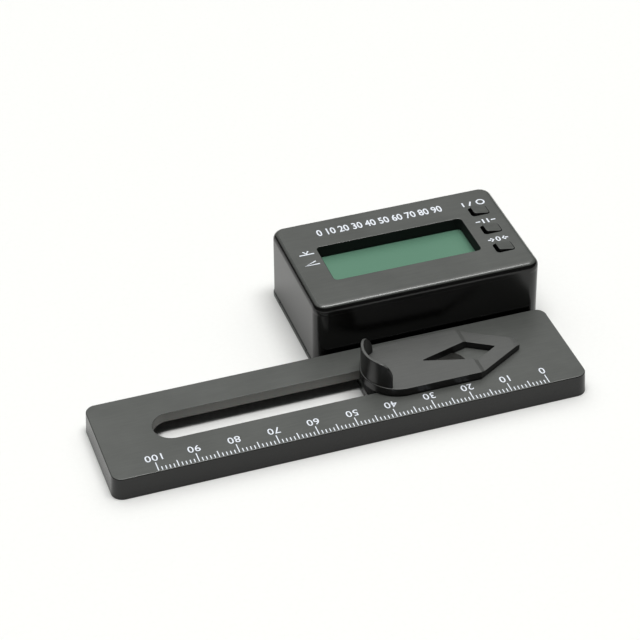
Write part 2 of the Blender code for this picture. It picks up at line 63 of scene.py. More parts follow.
plateLow, plateHigh, plateMid, plateSize = boxOf("base_plate")
bodyLow, bodyHigh, bodyMid, bodySize = boxOf("case_body")
lcdLow, lcdHigh, lcdMid, lcdSize = boxOf("lcd_panel")
doorLow, doorHigh, doorMid, doorSize = boxOf("battery_door")
pointerLow, pointerHigh, pointerMid, _ = boxOf("slider_plate")
coverTop = boxOf("top_cover")[1].z
boardTop = boxOf("circuit_board")[1].z
retainerRight = boxOf("slider_retainer")[1].x


# Small helpers for outlines, which run anticlockwise
def roundedRectangle(centre, size, corner, steps=10):
    halfX, halfY = size[0] / 2 - corner, size[1] / 2 - corner
    points = []
    for signX, signY, start in ((1, -1, -90), (1, 1, 0), (-1, 1, 90), (-1, -1, 180)):
        for step in range(steps + 1):
            angle = math.radians(start + 90 * step / steps)
            points.append((centre[0] + signX * halfX + corner * math.cos(angle),
                           centre[1] + signY * halfY + corner * math.sin(angle)))
    return points


def arcPoints(centre, radius, start, end, steps):
    angles = [math.radians(start + (end - start) * step / steps) for step in range(steps + 1)]
    return [(centre[0] + radius * math.cos(a), centre[1] + radius * math.sin(a)) for a in angles]


def circlePoints(centre, radius, steps=32):
    return arcPoints(centre, radius, 0, 360, steps)[:-1]


def slotPoints(left, right, middleY, width, steps=24):
    radius = width / 2
    return (arcPoints((right - radius, middleY), radius, -90, 90, steps)
            + arcPoints((left + radius, middleY), radius, 90, 270, steps))


# The outline moved inwards, with mitred corners
def insetPoints(points, inset):
    leastShare = 0.3    # holds back the mitre of a very sharp corner
    moved = []
    for i, point in enumerate(points):
        here = Vector(point)
        before = here - Vector(points[i - 1])
        after = Vector(points[(i + 1) % len(points)]) - here
        sideA = Vector((-before.y, before.x)).normalized()
        sideB = Vector((-after.y, after.x)).normalized()
        mitre = (sideA + sideB).normalized()
        moved.append(here + mitre * inset / max(mitre.dot(sideA), leastShare))
    return moved


# The two legs first-corner-last with the corner replaced by an arc
def roundProfile(first, corner, last, radius, steps=6):
    corner, first, last = Vector(corner), Vector(first), Vector(last)
    toFirst, toLast = (first - corner).normalized(), (last - corner).normalized()
    half = toFirst.angle(toLast) / 2
    reach = radius / math.tan(half)
    middle = corner + (toFirst + toLast).normalized() * radius / math.sin(half)
    start = corner + toFirst * reach - middle
    turn = start.angle_signed(corner + toLast * reach - middle)
    arc = [middle + Matrix.Rotation(-turn * step / steps, 2) @ start for step in range(steps + 1)]
    return [tuple(point) for point in arc]


# A straight outline whose corners get arcs of the given radii, zero for none
def roundCorners(points, radii):
    made = []
    for i, point in enumerate(points):
        if radii[i]:
            made += roundProfile(points[i - 1], point, points[(i + 1) % len(points)], radii[i], steps=5)
        else:
            made.append(point)
    return made


# Small helpers for meshes
def joinRings(bm, rings):
    for lower, upper in zip(rings, rings[1:]):
        for i in range(len(lower)):
            bm.faces.new((lower[i - 1], lower[i], upper[i], upper[i - 1]))
    return rings[0], rings[-1]


# Rings of the outline, one for each (inset, height), joined by quads
def addRings(bm, points, profile):
    return joinRings(bm, [[bm.verts.new((p[0], p[1], z)) for p in insetPoints(points, inset)]
                          for inset, z in profile])


# A flat face between an outer ring and the rings of its holes
def fillFlat(bm, *rings):
    edges = []
    for ring in rings:
        for i in range(len(ring)):
            edges.append(bm.edges.get((ring[i - 1], ring[i])))
    bmesh.ops.triangle_fill(bm, edges=edges, use_beauty=True)


def closeEnds(bm, *rings):
    for ring in rings:
        fillFlat(bm, ring)


# Cuts every face at the given places along an axis
def sliceMesh(bm, axis, places):
    normal = Vector([1.0 if i == axis else 0.0 for i in range(3)])
    for place in places:
        geometry = bm.verts[:] + bm.edges[:] + bm.faces[:]
        bmesh.ops.bisect_plane(bm, geom=geometry, plane_co=normal * place, plane_no=normal, dist=touching)


def addObject(name, data):
    obj = bpy.data.objects.new(name, data)
    bpy.context.scene.collection.objects.link(obj)
    return obj


def finishMesh(name, bm, sharp=sharpAngle):
    bmesh.ops.recalc_face_normals(bm, faces=bm.faces)
    mesh = bpy.data.meshes.new(name)
    bm.to_mesh(mesh)
    bm.free()
    mesh.shade_smooth()
    mesh.set_sharp_from_angle(angle=math.radians(sharp))
    return addObject(name, mesh)


# Flat faces stay flat beside their rounded edges
def weightNormals(obj):
    modifier = obj.modifiers.new("flat faces", "WEIGHTED_NORMAL")
    modifier.keep_sharp = True
    modifier.weight = 80
    return obj


def evaluatedMesh(obj):
    bpy.context.view_layer.update()
    return bpy.data.meshes.new_from_object(obj.evaluated_get(bpy.context.evaluated_depsgraph_get()))


# Joins solids on, or cuts them out, and removes them
def combine(obj, others, operation, sharp=None):
    for other in others:
        modifier = obj.modifiers.new("combine", "BOOLEAN")
        modifier.operation = operation
        modifier.solver = "EXACT"
        modifier.object = other
    mesh = evaluatedMesh(obj)
    old = obj.data
    obj.modifiers.clear()
    obj.data = mesh
    mesh.name = obj.name
    bpy.data.meshes.remove(old)
    for other in others:
        bpy.data.objects.remove(other, do_unlink=True)
    if sharp:
        mesh.set_sharp_from_angle(angle=math.radians(sharp))


def uprightSolid(name, points, base, top):
    bm = bmesh.new()
    closeEnds(bm, *addRings(bm, points, [(0, base), (0, top)]))
    return finishMesh(name, bm)


def blockSolid(name, centre, size, base, height, corner):
    return uprightSolid(name, roundedRectangle(centre, size, corner, steps=6), base, base + height)


def roundSolid(name, centre, radius, base, top, steps=32):
    return uprightSolid(name, circlePoints(centre, radius, steps), base, top)


# A solid turned round the Z axis, from pairs of radius and height
def turnedSolid(name, profile, steps):
    bm = bmesh.new()
    rings = [[bm.verts.new((x, y, z)) for x, y in circlePoints((0, 0), radius, steps)] for radius, z in profile]
    closeEnds(bm, *joinRings(bm, rings))
    return finishMesh(name, bm)


# Puts a piece on its body in place of a node
def show(obj, node, material):
    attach(obj, bodyOf[node])
    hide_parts(node)
    obj.data.materials.clear()
    obj.data.materials.append(material)


# Gives the upright walls of a pocket or slot a material of their own; on the slot's walls this carries painted
# light
def finishPocket(obj, material, low, high):
    wallLean = 0.5      # largest upward share of a wall's normal
    obj.data.materials.append(material)
    for face in obj.data.polygons:
        inside = all(low[axis] < face.center[axis] < high[axis] for axis in range(len(low)))
        if inside and abs(face.normal.z) < wallLean:
            face.material_index = len(obj.data.materials) - 1


# Small helpers for materials
# sRGB hex to linear
def linearColour(hexColour):
    values = [int(hexColour[i:i + 2], 16) / 255 for i in (1, 3, 5)]
    return tuple(v / 12.92 if v <= 0.04045 else ((v + 0.055) / 1.055) ** 2.4 for v in values) + (1.0,)


# One node, with its settings and what feeds its inputs
def addNode(tree, kind, settings=None, links=None):
    node = tree.nodes.new(kind)
    for key, value in (settings or {}).items():
        if isinstance(key, int) or key in node.inputs:
            node.inputs[key].default_value = value
        else:
            setattr(node, key, value)
    for key, source in (links or {}).items():
        tree.links.new(source, node.inputs[key])
    return node


# A material with its shader, and the place on the piece that its patterns start from
def newMaterial(name):
    material = bpy.data.materials.new(name)
    material.use_nodes = True
    tree = material.node_tree
    tree.nodes.clear()
    shader = addNode(tree, "ShaderNodeBsdfPrincipled")
    addNode(tree, "ShaderNodeOutputMaterial", None, {0: shader.outputs[0]})
    place = addNode(tree, "ShaderNodeTexCoord").outputs["Object"]
    return material, tree, shader, place


# Numbers are set on the shader's inputs, sockets are linked to them
def setShader(shader, values):
    for key, value in values.items():
        if isinstance(value, bpy.types.NodeSocket):
            shader.id_data.links.new(value, shader.inputs[key])
        else:
            shader.inputs[key].default_value = value


# Materials
# Moulded ABS, coloured black in the melt. The mould's face was spark eroded, so upward faces carry a fine grain
# and are rougher. Its sides were polished so that the piece comes off, and they and the roundings are glossier.
# Upward faces are painted a lighter grey, which is painted light, and sides and roundings a near-black, which is
# painted shade; the colour follows the way the normal points.
absOptions = {
    # dark and light: the grey of upward faces, painted light, varied at random; side: the near-black of sides
    # and roundings, painted shade
    "dark": "#535552", "light": "#60625f", "side": "#131312", "ior": 1.57,
    "roughness": 0.48, "sideRoughness": 0.22,
    # upward shares of the normal between the painted shade of the sides and the painted light of the tops
    "paintedShadeUntil": 0.66, "paintedLightFrom": 0.8,            # upward share of the normal, between black and grey
    "polishedUntil": 0.92, "erodedFrom": 0.985,     # the polish starts nearer to the flat face than the black
    "grainMm": 0.16,            # spark-eroded grain is about 0.05 mm; drawn coarser so that it shows
    "grainDetail": 3.0, "grainRoughness": 0.6, "grainStrength": 0.22, "sideGrain": 0.04, "grainDepthMm": 0.02,
    "flowMm": 14.0, "flowDetail": 4.0, "flowRoughness": 0.55, "flowDepth": 0.05,
    "rubMm": 0.5, "rubDetail": 5.0, "rubRoughness": 0.7, "rubStretch": (0.06, 1.0, 1.0),
    "rubDepth": 0.02, "rubFrom": 0.35, "rubTo": 0.75,
    "rubShare": 0.5, "toneFrom": 0.35, "toneTo": 0.65,
}


def mouldedAbs(name, changes):
    o = {**absOptions, **changes}
    material, tree, shader, place = newMaterial(name)
    normal = addNode(tree, "ShaderNodeTexCoord").outputs["Normal"]
    upward = addNode(tree, "ShaderNodeSeparateXYZ", None, {0: normal}).outputs[2]
    # face is 0 on sides and roundings and 1 on upward faces: it places the painted shade and the painted light
    face = addNode(tree, "ShaderNodeMapRange", {"interpolation_type": "SMOOTHSTEP", 1: o["paintedShadeUntil"],
                                                2: o["paintedLightFrom"]}, {0: upward})
    grain = addNode(tree, "ShaderNodeTexNoise", {"Scale": 1 / o["grainMm"] / mm, "Detail": o["grainDetail"],
                                                 "Roughness": o["grainRoughness"]}, {"Vector": place})
    flow = addNode(tree, "ShaderNodeTexNoise", {"Scale": 1 / o["flowMm"] / mm, "Detail": o["flowDetail"],
                                                "Roughness": o["flowRoughness"]}, {"Vector": place})
    stretched = addNode(tree, "ShaderNodeMapping", {"Scale": o["rubStretch"]}, {"Vector": place})
    rub = addNode(tree, "ShaderNodeTexNoise", {"Scale": 1 / o["rubMm"] / mm, "Detail": o["rubDetail"],
                                               "Roughness": o["rubRoughness"]}, {"Vector": stretched.outputs[0]})
    flowPart = addNode(tree, "ShaderNodeMath", {"operation": "MULTIPLY", 1: 1 - o["rubShare"]},
                       {0: flow.outputs[0]})
    blend = addNode(tree, "ShaderNodeMath", {"operation": "MULTIPLY_ADD", 1: o["rubShare"]},
                    {0: rub.outputs[0], 2: flowPart.outputs[0]})
    spread = addNode(tree, "ShaderNodeMapRange", {1: o["toneFrom"], 2: o["toneTo"]}, {0: blend.outputs[0]})
    # the grey of upward faces, painted light, with random tone from the flow and rub patterns
    paintedLightTopTone = addNode(tree, "ShaderNodeMix", {"data_type": "RGBA", 6: linearColour(o["dark"]),
                                               7: linearColour(o["light"])}, {0: spread.outputs[0]})
    # painted shade on sides and roundings, painted light on upward faces
    tone = addNode(tree, "ShaderNodeMix", {"data_type": "RGBA", 6: linearColour(o["side"])},
                   {0: face.outputs[0], 7: paintedLightTopTone.outputs[2]})
    rubbed = addNode(tree, "ShaderNodeMapRange", {1: o["rubFrom"], 2: o["rubTo"],
                                                  3: o["roughness"] - o["rubDepth"],
                                                  4: o["roughness"] + o["rubDepth"]}, {0: rub.outputs[0]})
    patchy = addNode(tree, "ShaderNodeMath", {"operation": "MULTIPLY_ADD", 1: o["flowDepth"],
                                              2: -o["flowDepth"] / 2}, {0: flow.outputs[0]})
    worn = addNode(tree, "ShaderNodeMath", {"operation": "ADD"}, {0: rubbed.outputs[0], 1: patchy.outputs[0]})
    eroded = addNode(tree, "ShaderNodeMapRange", {"interpolation_type": "SMOOTHSTEP", 1: o["polishedUntil"],
                                                  2: o["erodedFrom"]}, {0: upward})
    finish = addNode(tree, "ShaderNodeMix", {"data_type": "FLOAT", 2: o["sideRoughness"]},
                     {0: eroded.outputs[0], 3: worn.outputs[0]})
    depth = addNode(tree, "ShaderNodeMapRange", {3: o["sideGrain"], 4: o["grainStrength"]},
                    {0: eroded.outputs[0]})
    bump = addNode(tree, "ShaderNodeBump", {"Distance": o["grainDepthMm"] * mm},
                   {"Height": grain.outputs[0], "Strength": depth.outputs[0]})
    setShader(shader, {"Base Color": tone.outputs[2], "Roughness": finish.outputs[0],
                       "Normal": bump.outputs[0], "IOR": o["ior"]})
    return material


# Copies of the one black ABS; the plate's side colour and the pointer's top and side colours are their own
# settings of the painted light on tops and the painted shade on sides
plateAbs = mouldedAbs("mouldedAbsPlate", {"side": "#1b1b1a", "rubDepth": 0.035})
caseAbs = mouldedAbs("mouldedAbsCase", {})
pointerAbs = mouldedAbs("mouldedAbsPointer", {"dark": "#575856", "light": "#626361", "side": "#1a1a19",
                                              "sideRoughness": 0.3})
keyAbs = mouldedAbs("mouldedAbsKey", {"flowMm": 3.0})
# The slot's walls are given a light grey, which is painted light. The display well is painted matt black.
paintedLightSlotAbs = mouldedAbs("paintedLightSlotWalls", {"side": "#868682", "sideRoughness": 0.5})
wellAbs = mouldedAbs("mattBlackWell", {"side": "#141414", "sideRoughness": 0.75})


# White two-part screen ink, a film with a faintly uneven edge and a soft sheen
def screenInk():
    o = {"white": "#edf1f8", "thin": "#cfd4db", "grainMm": 0.09, "detail": 2.0,
         "thinUntil": 0.3, "fullFrom": 0.5, "roughness": 0.5, "ior": 1.5}
    material, tree, shader, place = newMaterial("whiteScreenInk")
    grain = addNode(tree, "ShaderNodeTexNoise", {"Scale": 1 / o["grainMm"] / mm, "Detail": o["detail"]},
                    {"Vector": place})
    cover = addNode(tree, "ShaderNodeMapRange", {1: o["thinUntil"], 2: o["fullFrom"]}, {0: grain.outputs[0]})
    tone = addNode(tree, "ShaderNodeMix", {"data_type": "RGBA", 6: linearColour(o["thin"]),
                                           7: linearColour(o["white"])}, {0: cover.outputs[0]})
    setShader(shader, {"Base Color": tone.outputs[2], "Roughness": o["roughness"], "IOR": o["ior"]})
    return material


# Reflective polariser film over the display, grey-green, with an anti-glare skin
def polariserFilm():
    o = {"middle": "#648c77", "edge": "#608974", "mottleMm": 0.35, "mottleDetail": 3.0, "mottleShare": 0.25,
         "broadMm": 25.0, "broadDetail": 1.0, "roughness": 0.6, "ior": 1.49}
    material, tree, shader, place = newMaterial("greenPolariserFilm")
    mottle = addNode(tree, "ShaderNodeTexNoise", {"Scale": 1 / o["mottleMm"] / mm, "Detail": o["mottleDetail"]},
                     {"Vector": place})
    broad = addNode(tree, "ShaderNodeTexNoise", {"Scale": 1 / o["broadMm"] / mm, "Detail": o["broadDetail"]},
                    {"Vector": place})
    mixed = addNode(tree, "ShaderNodeMath", {"operation": "MULTIPLY_ADD", 1: o["mottleShare"]},
                    {0: mottle.outputs[0], 2: broad.outputs[0]})
    tone = addNode(tree, "ShaderNodeMix", {"data_type": "RGBA", 6: linearColour(o["edge"]),
                                           7: linearColour(o["middle"])}, {0: mixed.outputs[0]})
    setShader(shader, {"Base Color": tone.outputs[2], "Roughness": o["roughness"], "IOR": o["ior"]})
    return material


# Soda-lime glass of the display cell, greenish, with faint smears
def displayGlass():
    o = {"dark": "#5f8a74", "light": "#6d9a84", "smearMm": 10 / 3, "detail": 2.0,
         "clean": 0.04, "smeared": 0.1, "ior": 1.52}
    material, tree, shader, place = newMaterial("sodaLimeGlass")
    smear = addNode(tree, "ShaderNodeTexNoise", {"Scale": 1 / o["smearMm"] / mm, "Detail": o["detail"]},
                    {"Vector": place})
    tone = addNode(tree, "ShaderNodeMix", {"data_type": "RGBA", 6: linearColour(o["dark"]),
                                           7: linearColour(o["light"])}, {0: smear.outputs[0]})
    gloss = addNode(tree, "ShaderNodeMapRange", {3: o["clean"], 4: o["smeared"]}, {0: smear.outputs[0]})
    setShader(shader, {"Base Color": tone.outputs[2], "Roughness": gloss.outputs[0], "IOR": o["ior"]})
    return material


# Nickel or zinc on drawn and turned steel: fine lines along the work, small dull spots
def platedSteel(name, hexLight, hexDark, roughness):
    o = {"lineMm": 0.12, "stretch": (1.0, 1.0, 0.1), "detail": 4.0, "smoother": 0.08, "duller": 0.1,
         "bump": 0.15, "bumpMm": 0.01}
    material, tree, shader, place = newMaterial(name)
    stretched = addNode(tree, "ShaderNodeMapping", {"Scale": o["stretch"]}, {"Vector": place})
    lines = addNode(tree, "ShaderNodeTexNoise", {"Scale": 1 / o["lineMm"] / mm, "Detail": o["detail"]},
                    {"Vector": stretched.outputs[0]})
    tone = addNode(tree, "ShaderNodeMix", {"data_type": "RGBA", 6: linearColour(hexDark),
                                           7: linearColour(hexLight)}, {0: lines.outputs[0]})
    gloss = addNode(tree, "ShaderNodeMapRange", {3: roughness - o["smoother"], 4: roughness + o["duller"]},
                    {0: lines.outputs[0]})
    bump = addNode(tree, "ShaderNodeBump", {"Strength": o["bump"], "Distance": o["bumpMm"] * mm},
                   {"Height": lines.outputs[0]})
    setShader(shader, {"Base Color": tone.outputs[2], "Roughness": gloss.outputs[0],
                       "Normal": bump.outputs[0], "Metallic": 1.0})
    return material


# Glass-epoxy laminate under green solder mask: woven glass shows through, copper tracks stand a little proud
def boardLaminate():
    o = {"mask": "#12522c", "track": "#1f7a41", "trackMm": 2.4, "trackHalf": 0.06, "maskFrom": 0.1,
         "weaveMm": 4.398,      # glass cloth repeats at about 1 mm; drawn coarser so that it shows
         "weaveBend": 0.4, "bump": 0.3, "bumpMm": 0.03, "roughness": 0.36, "ior": 1.55}
    waveLength = math.tau / 20      # of the wave texture, at a scale of 1
    material, tree, shader, place = newMaterial("glassEpoxyLaminate")
    weave = addNode(tree, "ShaderNodeTexWave", {"Scale": waveLength / o["weaveMm"] / mm,
                                                "Distortion": o["weaveBend"]}, {"Vector": place})
    tracks = addNode(tree, "ShaderNodeTexVoronoi", {"feature": "DISTANCE_TO_EDGE",
                                                    "Scale": 1 / o["trackMm"] / mm}, {"Vector": place})
    line = addNode(tree, "ShaderNodeMapRange", {1: o["trackHalf"], 2: o["maskFrom"]}, {0: tracks.outputs[0]})
    tone = addNode(tree, "ShaderNodeMix", {"data_type": "RGBA", 6: linearColour(o["track"]),
                                           7: linearColour(o["mask"])}, {0: line.outputs[0]})
    bump = addNode(tree, "ShaderNodeBump", {"Strength": o["bump"], "Distance": o["bumpMm"] * mm},
                   {"Height": weave.outputs[0]})
    setShader(shader, {"Base Color": tone.outputs[2], "Normal": bump.outputs[0],
                       "Roughness": o["roughness"], "IOR": o["ior"]})
    return material


# Epoxy moulding compound of the chips and switches, matt, with silica grain; also the display's rubber strips
def matCompound(name, hexDark, hexLight, roughness, grainMm):
    o = {"detail": 3.0, "bump": 0.3, "bumpMm": 0.02, "ior": 1.55}
    material, tree, shader, place = newMaterial(name)
    grain = addNode(tree, "ShaderNodeTexNoise", {"Scale": 1 / grainMm / mm, "Detail": o["detail"]},
                    {"Vector": place})
    tone = addNode(tree, "ShaderNodeMix", {"data_type": "RGBA", 6: linearColour(hexDark),
                                           7: linearColour(hexLight)}, {0: grain.outputs[0]})
    bump = addNode(tree, "ShaderNodeBump", {"Strength": o["bump"], "Distance": o["bumpMm"] * mm},
                   {"Height": grain.outputs[0]})
    setShader(shader, {"Base Color": tone.outputs[2], "Normal": bump.outputs[0],
                       "Roughness": roughness, "IOR": o["ior"]})
    return material


# Shrunk film round the cells: grey metallised ink with a copper band at the nub's end
def cellFilm():
    o = {"band": "#b06a34", "main": "#3b4046", "dark": "#33383d",
         "bandFrom": 8.0 * mm,      # from the cell's middle
         "inkMm": 0.2, "metallic": 0.75, "roughness": 0.33}
    material, tree, shader, place = newMaterial("metallisedShrinkFilm")
    along = addNode(tree, "ShaderNodeSeparateXYZ", None, {0: place})
    band = addNode(tree, "ShaderNodeMath", {"operation": "GREATER_THAN", 1: o["bandFrom"]},
                   {0: along.outputs[2]})
    ink = addNode(tree, "ShaderNodeTexNoise", {"Scale": 1 / o["inkMm"] / mm}, {"Vector": place})
    main = addNode(tree, "ShaderNodeMix", {"data_type": "RGBA", 6: linearColour(o["dark"]),
                                           7: linearColour(o["main"])}, {0: ink.outputs[0]})
    tone = addNode(tree, "ShaderNodeMix", {"data_type": "RGBA", 7: linearColour(o["band"])},
                   {0: band.outputs[0], 6: main.outputs[2]})
    setShader(shader, {"Base Color": tone.outputs[2], "Metallic": o["metallic"], "Roughness": o["roughness"]})
    return material


whiteInk = screenInk()
filmGreen = polariserFilm()
cellGlass = displayGlass()
nickelSteel = platedSteel("nickelPlatedSteel", "#d3cfc6", "#b9b4aa", 0.28)
zincSteel = platedSteel("zincPlatedSteel", "#c9ccd0", "#a9adb2", 0.34)
# Black passivated zinc, on the screws whose shanks show in the gap between plate and case
blackZincSteel = platedSteel("blackZincPlatedSteel", "#3b3b3c", "#2a2a2b", 0.42)
laminate = boardLaminate()
chipResin = matCompound("epoxyMouldingCompound", "#151516", "#222223", 0.55, 0.12)
stripRubber = matCompound("layeredSiliconeRubber", "#8d8a84", "#a9a6a0", 0.72, 0.25)
cellJacket = cellFilm()
print("materials made")


# Scale plate: an upside-down tray with a long slot
plateOptions = {
    "draft": 0.385 * mm, "corner": 3.0 * mm, "topEdge": 0.3 * mm, "footEdge": 0.15 * mm,
    "wall": 2.5 * mm, "deck": 2.6 * mm, "innerCorner": 1.75 * mm, "innerFillet": 0.4 * mm,
    "slotWidth": 9.67 * mm, "slotLeft": 14.22 * mm, "slotRight": 27.0 * mm, "slotSetback": 0.9 * mm,
    "slotEdge": 0.14 * mm, "slotMargin": 0.1 * mm,
    "lugThickness": 1.2 * mm, "lugReach": 2.0 * mm, "lugTrim": 0.04 * mm, "lugCorner": 0.2 * mm,
    "lugLow": 0.3 * mm, "lugGap": 0.3 * mm, "lugTravel": 1.9 * mm,      # to the right, before the retainer stops
}
slotY = plateMid.y + plateOptions["slotSetback"]
slotLeft = plateLow.x + plateOptions["slotLeft"]
slotRight = plateHigh.x - plateOptions["slotRight"]


def makePlate():
    o = plateOptions
    top, deckBase = plateHigh.z, plateHigh.z - o["deck"]
    bm = bmesh.new()
    outer = roundedRectangle(plateMid, plateSize, o["corner"], steps=14)
    profile = roundProfile((farOff, 0), (0, 0), (o["draft"], top), o["footEdge"], steps=3)
    profile += roundProfile((0, 0), (o["draft"], top), (farOff, top), o["topEdge"], steps=7)
    outerFoot, outerTop = addRings(bm, outer, profile)
    innerSize = [side - 2 * o["wall"] for side in plateSize[:2]]
    inner = roundedRectangle(plateMid, innerSize, o["innerCorner"], steps=8)
    profile = [(0, 0)] + roundProfile((0, 0), (0, deckBase), (farOff, deckBase), o["innerFillet"], steps=4)
    innerFoot, innerTop = addRings(bm, inner, profile)
    slot = slotPoints(slotLeft, slotRight, slotY, o["slotWidth"], steps=28)
    profile = [(0, deckBase)] + roundProfile((0, deckBase), (0, top), (-farOff, top), o["slotEdge"], steps=4)
    slotFoot, slotTop = addRings(bm, slot, profile)
    fillFlat(bm, outerFoot, innerFoot)
    fillFlat(bm, innerTop, slotFoot)
    fillFlat(bm, outerTop, slotTop)
    plate = finishMesh("scalePlate", bm)
    lugs = []
    lugX = retainerRight + o["lugTravel"] + o["lugGap"] + o["lugThickness"] / 2
    for side in (-1, 1):
        lugY = slotY + side * (o["slotWidth"] + o["lugReach"]) / 2
        lugSize = (o["lugThickness"], o["lugReach"] - o["lugTrim"])
        lugs.append(blockSolid("lug", (lugX, lugY), lugSize, o["lugLow"], deckBase, o["lugCorner"]))
    combine(plate, lugs, "UNION")
    weightNormals(plate)
    show(plate, "base_plate", plateAbs)
    # The slot's walls get a light grey: painted light
    margin = o["slotMargin"]
    reach = o["slotWidth"] / 2 + margin
    finishPocket(plate, paintedLightSlotAbs, (slotLeft - margin, slotY - reach), (slotRight + margin, slotY + reach))


makePlate()
print("scale plate made")


# Pointer: a flat tongue with a round end, a thumb lip, a kite window and a lower nose
pointerOptions = {
    "width": 18.5 * mm, "straight": 19.0 * mm, "nose": 13.5 * mm, "tipWidth": 2.5 * mm, "tipRound": 0.25 * mm,
    "topEdge": 0.16 * mm, "footEdge": 0.12 * mm, "windowEdge": 0.1 * mm, "sharpAngle": 24,
    "step": 0.45 * mm, "stepRun": 1.2 * mm, "stepEdge": 0.15 * mm,
    "tipRun": 1.5 * mm, "tipDrop": 0.35 * mm, "tipEdge": 0.1 * mm,
    "windowLeft": 13.45 * mm, "windowRight": 6.25 * mm, "windowWidth": 7.8 * mm, "windowCorner": 0.18 * mm,
    "windowShift": 1.05 * mm, "thickness": 2.03 * mm,
    "lipInset": 0.3 * mm, "lipThickness": 0.85 * mm, "lipHeight": 6.8 * mm, "lipSunk": 0.4 * mm,
    "lipFrontCorner": 4.0 * mm, "lipBackCorner": 6.5 * mm, "lipHalfAngle": 63.5, "lipEdge": 0.25 * mm,
    "lipSlices": 44,
    "neckLength": 14.25 * mm, "neckInset": 0.6 * mm, "neckGap": 0.3 * mm, "neckEdge": 0.2 * mm,
}


def makePointer():
    o = pointerOptions
    half = o["width"] / 2
    midY = pointerMid.y
    tipX = pointerHigh.x
    creaseX = tipX - o["nose"]
    roundX = creaseX - o["straight"]
    top = pointerHigh.z - o["lipHeight"]
    base = top - o["thickness"]
    bm = bmesh.new()
    tip = o["tipWidth"] / 2
    outline = arcPoints((roundX, midY), half, 90, 270, steps=48)
    nose = [(creaseX, midY - half), (tipX, midY - tip), (tipX, midY + tip), (creaseX, midY + half)]
    outline += roundCorners(nose, [0, o["tipRound"], o["tipRound"], 0])
    profile = roundProfile((farOff, base), (0, base), (0, top), o["footEdge"], steps=3)
    profile += roundProfile((0, base), (0, top), (farOff, top), o["topEdge"], steps=5)
    outerFoot, outerTop = addRings(bm, outline, profile)
    windowX = creaseX + o["windowShift"]
    kite = [(windowX - o["windowLeft"], midY), (windowX, midY - o["windowWidth"] / 2),
            (windowX + o["windowRight"], midY), (windowX, midY + o["windowWidth"] / 2)]
    kite = roundCorners(kite, [o["windowCorner"]] * len(kite))
    profile = roundProfile((-farOff, base), (0, base), (0, top), o["windowEdge"], steps=2)
    profile += roundProfile((0, base), (0, top), (-farOff, top), o["windowEdge"], steps=4)
    kiteFoot, kiteTop = addRings(bm, kite, profile)
    neckLeft = pointerLow.x + o["neckInset"]
    neckWidth = plateOptions["slotWidth"] - 2 * o["neckGap"]
    neck = slotPoints(neckLeft, neckLeft + o["neckLength"], slotY, neckWidth)
    neckBase = pointerLow.z
    profile = [(0, base)] + roundProfile((0, base), (0, neckBase), (farOff, neckBase), o["neckEdge"], steps=3)
    neckTop, neckFoot = addRings(bm, neck, profile)
    fillFlat(bm, outerTop, kiteTop)
    fillFlat(bm, outerFoot, kiteFoot, neckTop)
    fillFlat(bm, neckFoot)
    # The nose lies lower than the tongue, and its tip is bevelled
    stepEnd = creaseX + o["stepRun"]
    bevelStart = tipX - o["tipRun"]
    stepEdge, tipEdge = o["stepEdge"], o["tipEdge"]
    sliceMesh(bm, 0, [creaseX - stepEdge, creaseX, creaseX + stepEdge, stepEnd - stepEdge, stepEnd,
                      bevelStart - tipEdge, bevelStart, bevelStart + tipEdge])
    middle = base + o["thickness"] / 2
    for vert in bm.verts:
        if vert.co.z > middle:
            along = min(max((vert.co.x - creaseX) / o["stepRun"], 0), 1)
            bevel = min(max((vert.co.x - bevelStart) / o["tipRun"], 0), 1)
            vert.co.z -= o["step"] * along + o["tipDrop"] * bevel
    pointer = finishMesh("pointerPlate", bm, o["sharpAngle"])
    combine(pointer, [makeLip(roundX, midY, top)], "UNION", o["sharpAngle"])
    weightNormals(pointer)
    show(pointer, "slider_plate", pointerAbs)
    finishPocket(pointer, wellAbs, (pointerLow.x, pointerLow.y, neckBase), (creaseX, pointerHigh.y, base))


# The thumb lip: a flat wall with round upper corners, bent round the tongue's end
def makeLip(roundX, midY, top):
    o = pointerOptions
    radius = o["width"] / 2 - o["lipInset"]
    half = math.radians(o["lipHalfAngle"]) * radius
    front, back = o["lipFrontCorner"], o["lipBackCorner"]
    high = o["lipHeight"]
    flat = [(-half, -o["lipSunk"]), (half, -o["lipSunk"])]
    flat += arcPoints((half - front, high - front), front, 0, 90, steps=14)
    flat += arcPoints((back - half, high - back), back, 90, 180, steps=18)
    thick, edge = o["lipThickness"], o["lipEdge"]
    profile = roundProfile((farOff, 0), (0, 0), (0, thick), edge, steps=4)
    profile += roundProfile((0, 0), (0, thick), (farOff, thick), edge, steps=4)
    bm = bmesh.new()
    closeEnds(bm, *addRings(bm, flat, profile))
    slices = o["lipSlices"]
    sliceMesh(bm, 0, [half * (2 * i / slices - 1) for i in range(1, slices)])
    for vert in bm.verts:
        along, up, out = vert.co
        angle = along / radius
        reach = radius - thick + out
        vert.co = (roundX - reach * math.cos(angle), midY - reach * math.sin(angle), top + up)
    return finishMesh("lip", bm)


makePointer()
print("pointer made")


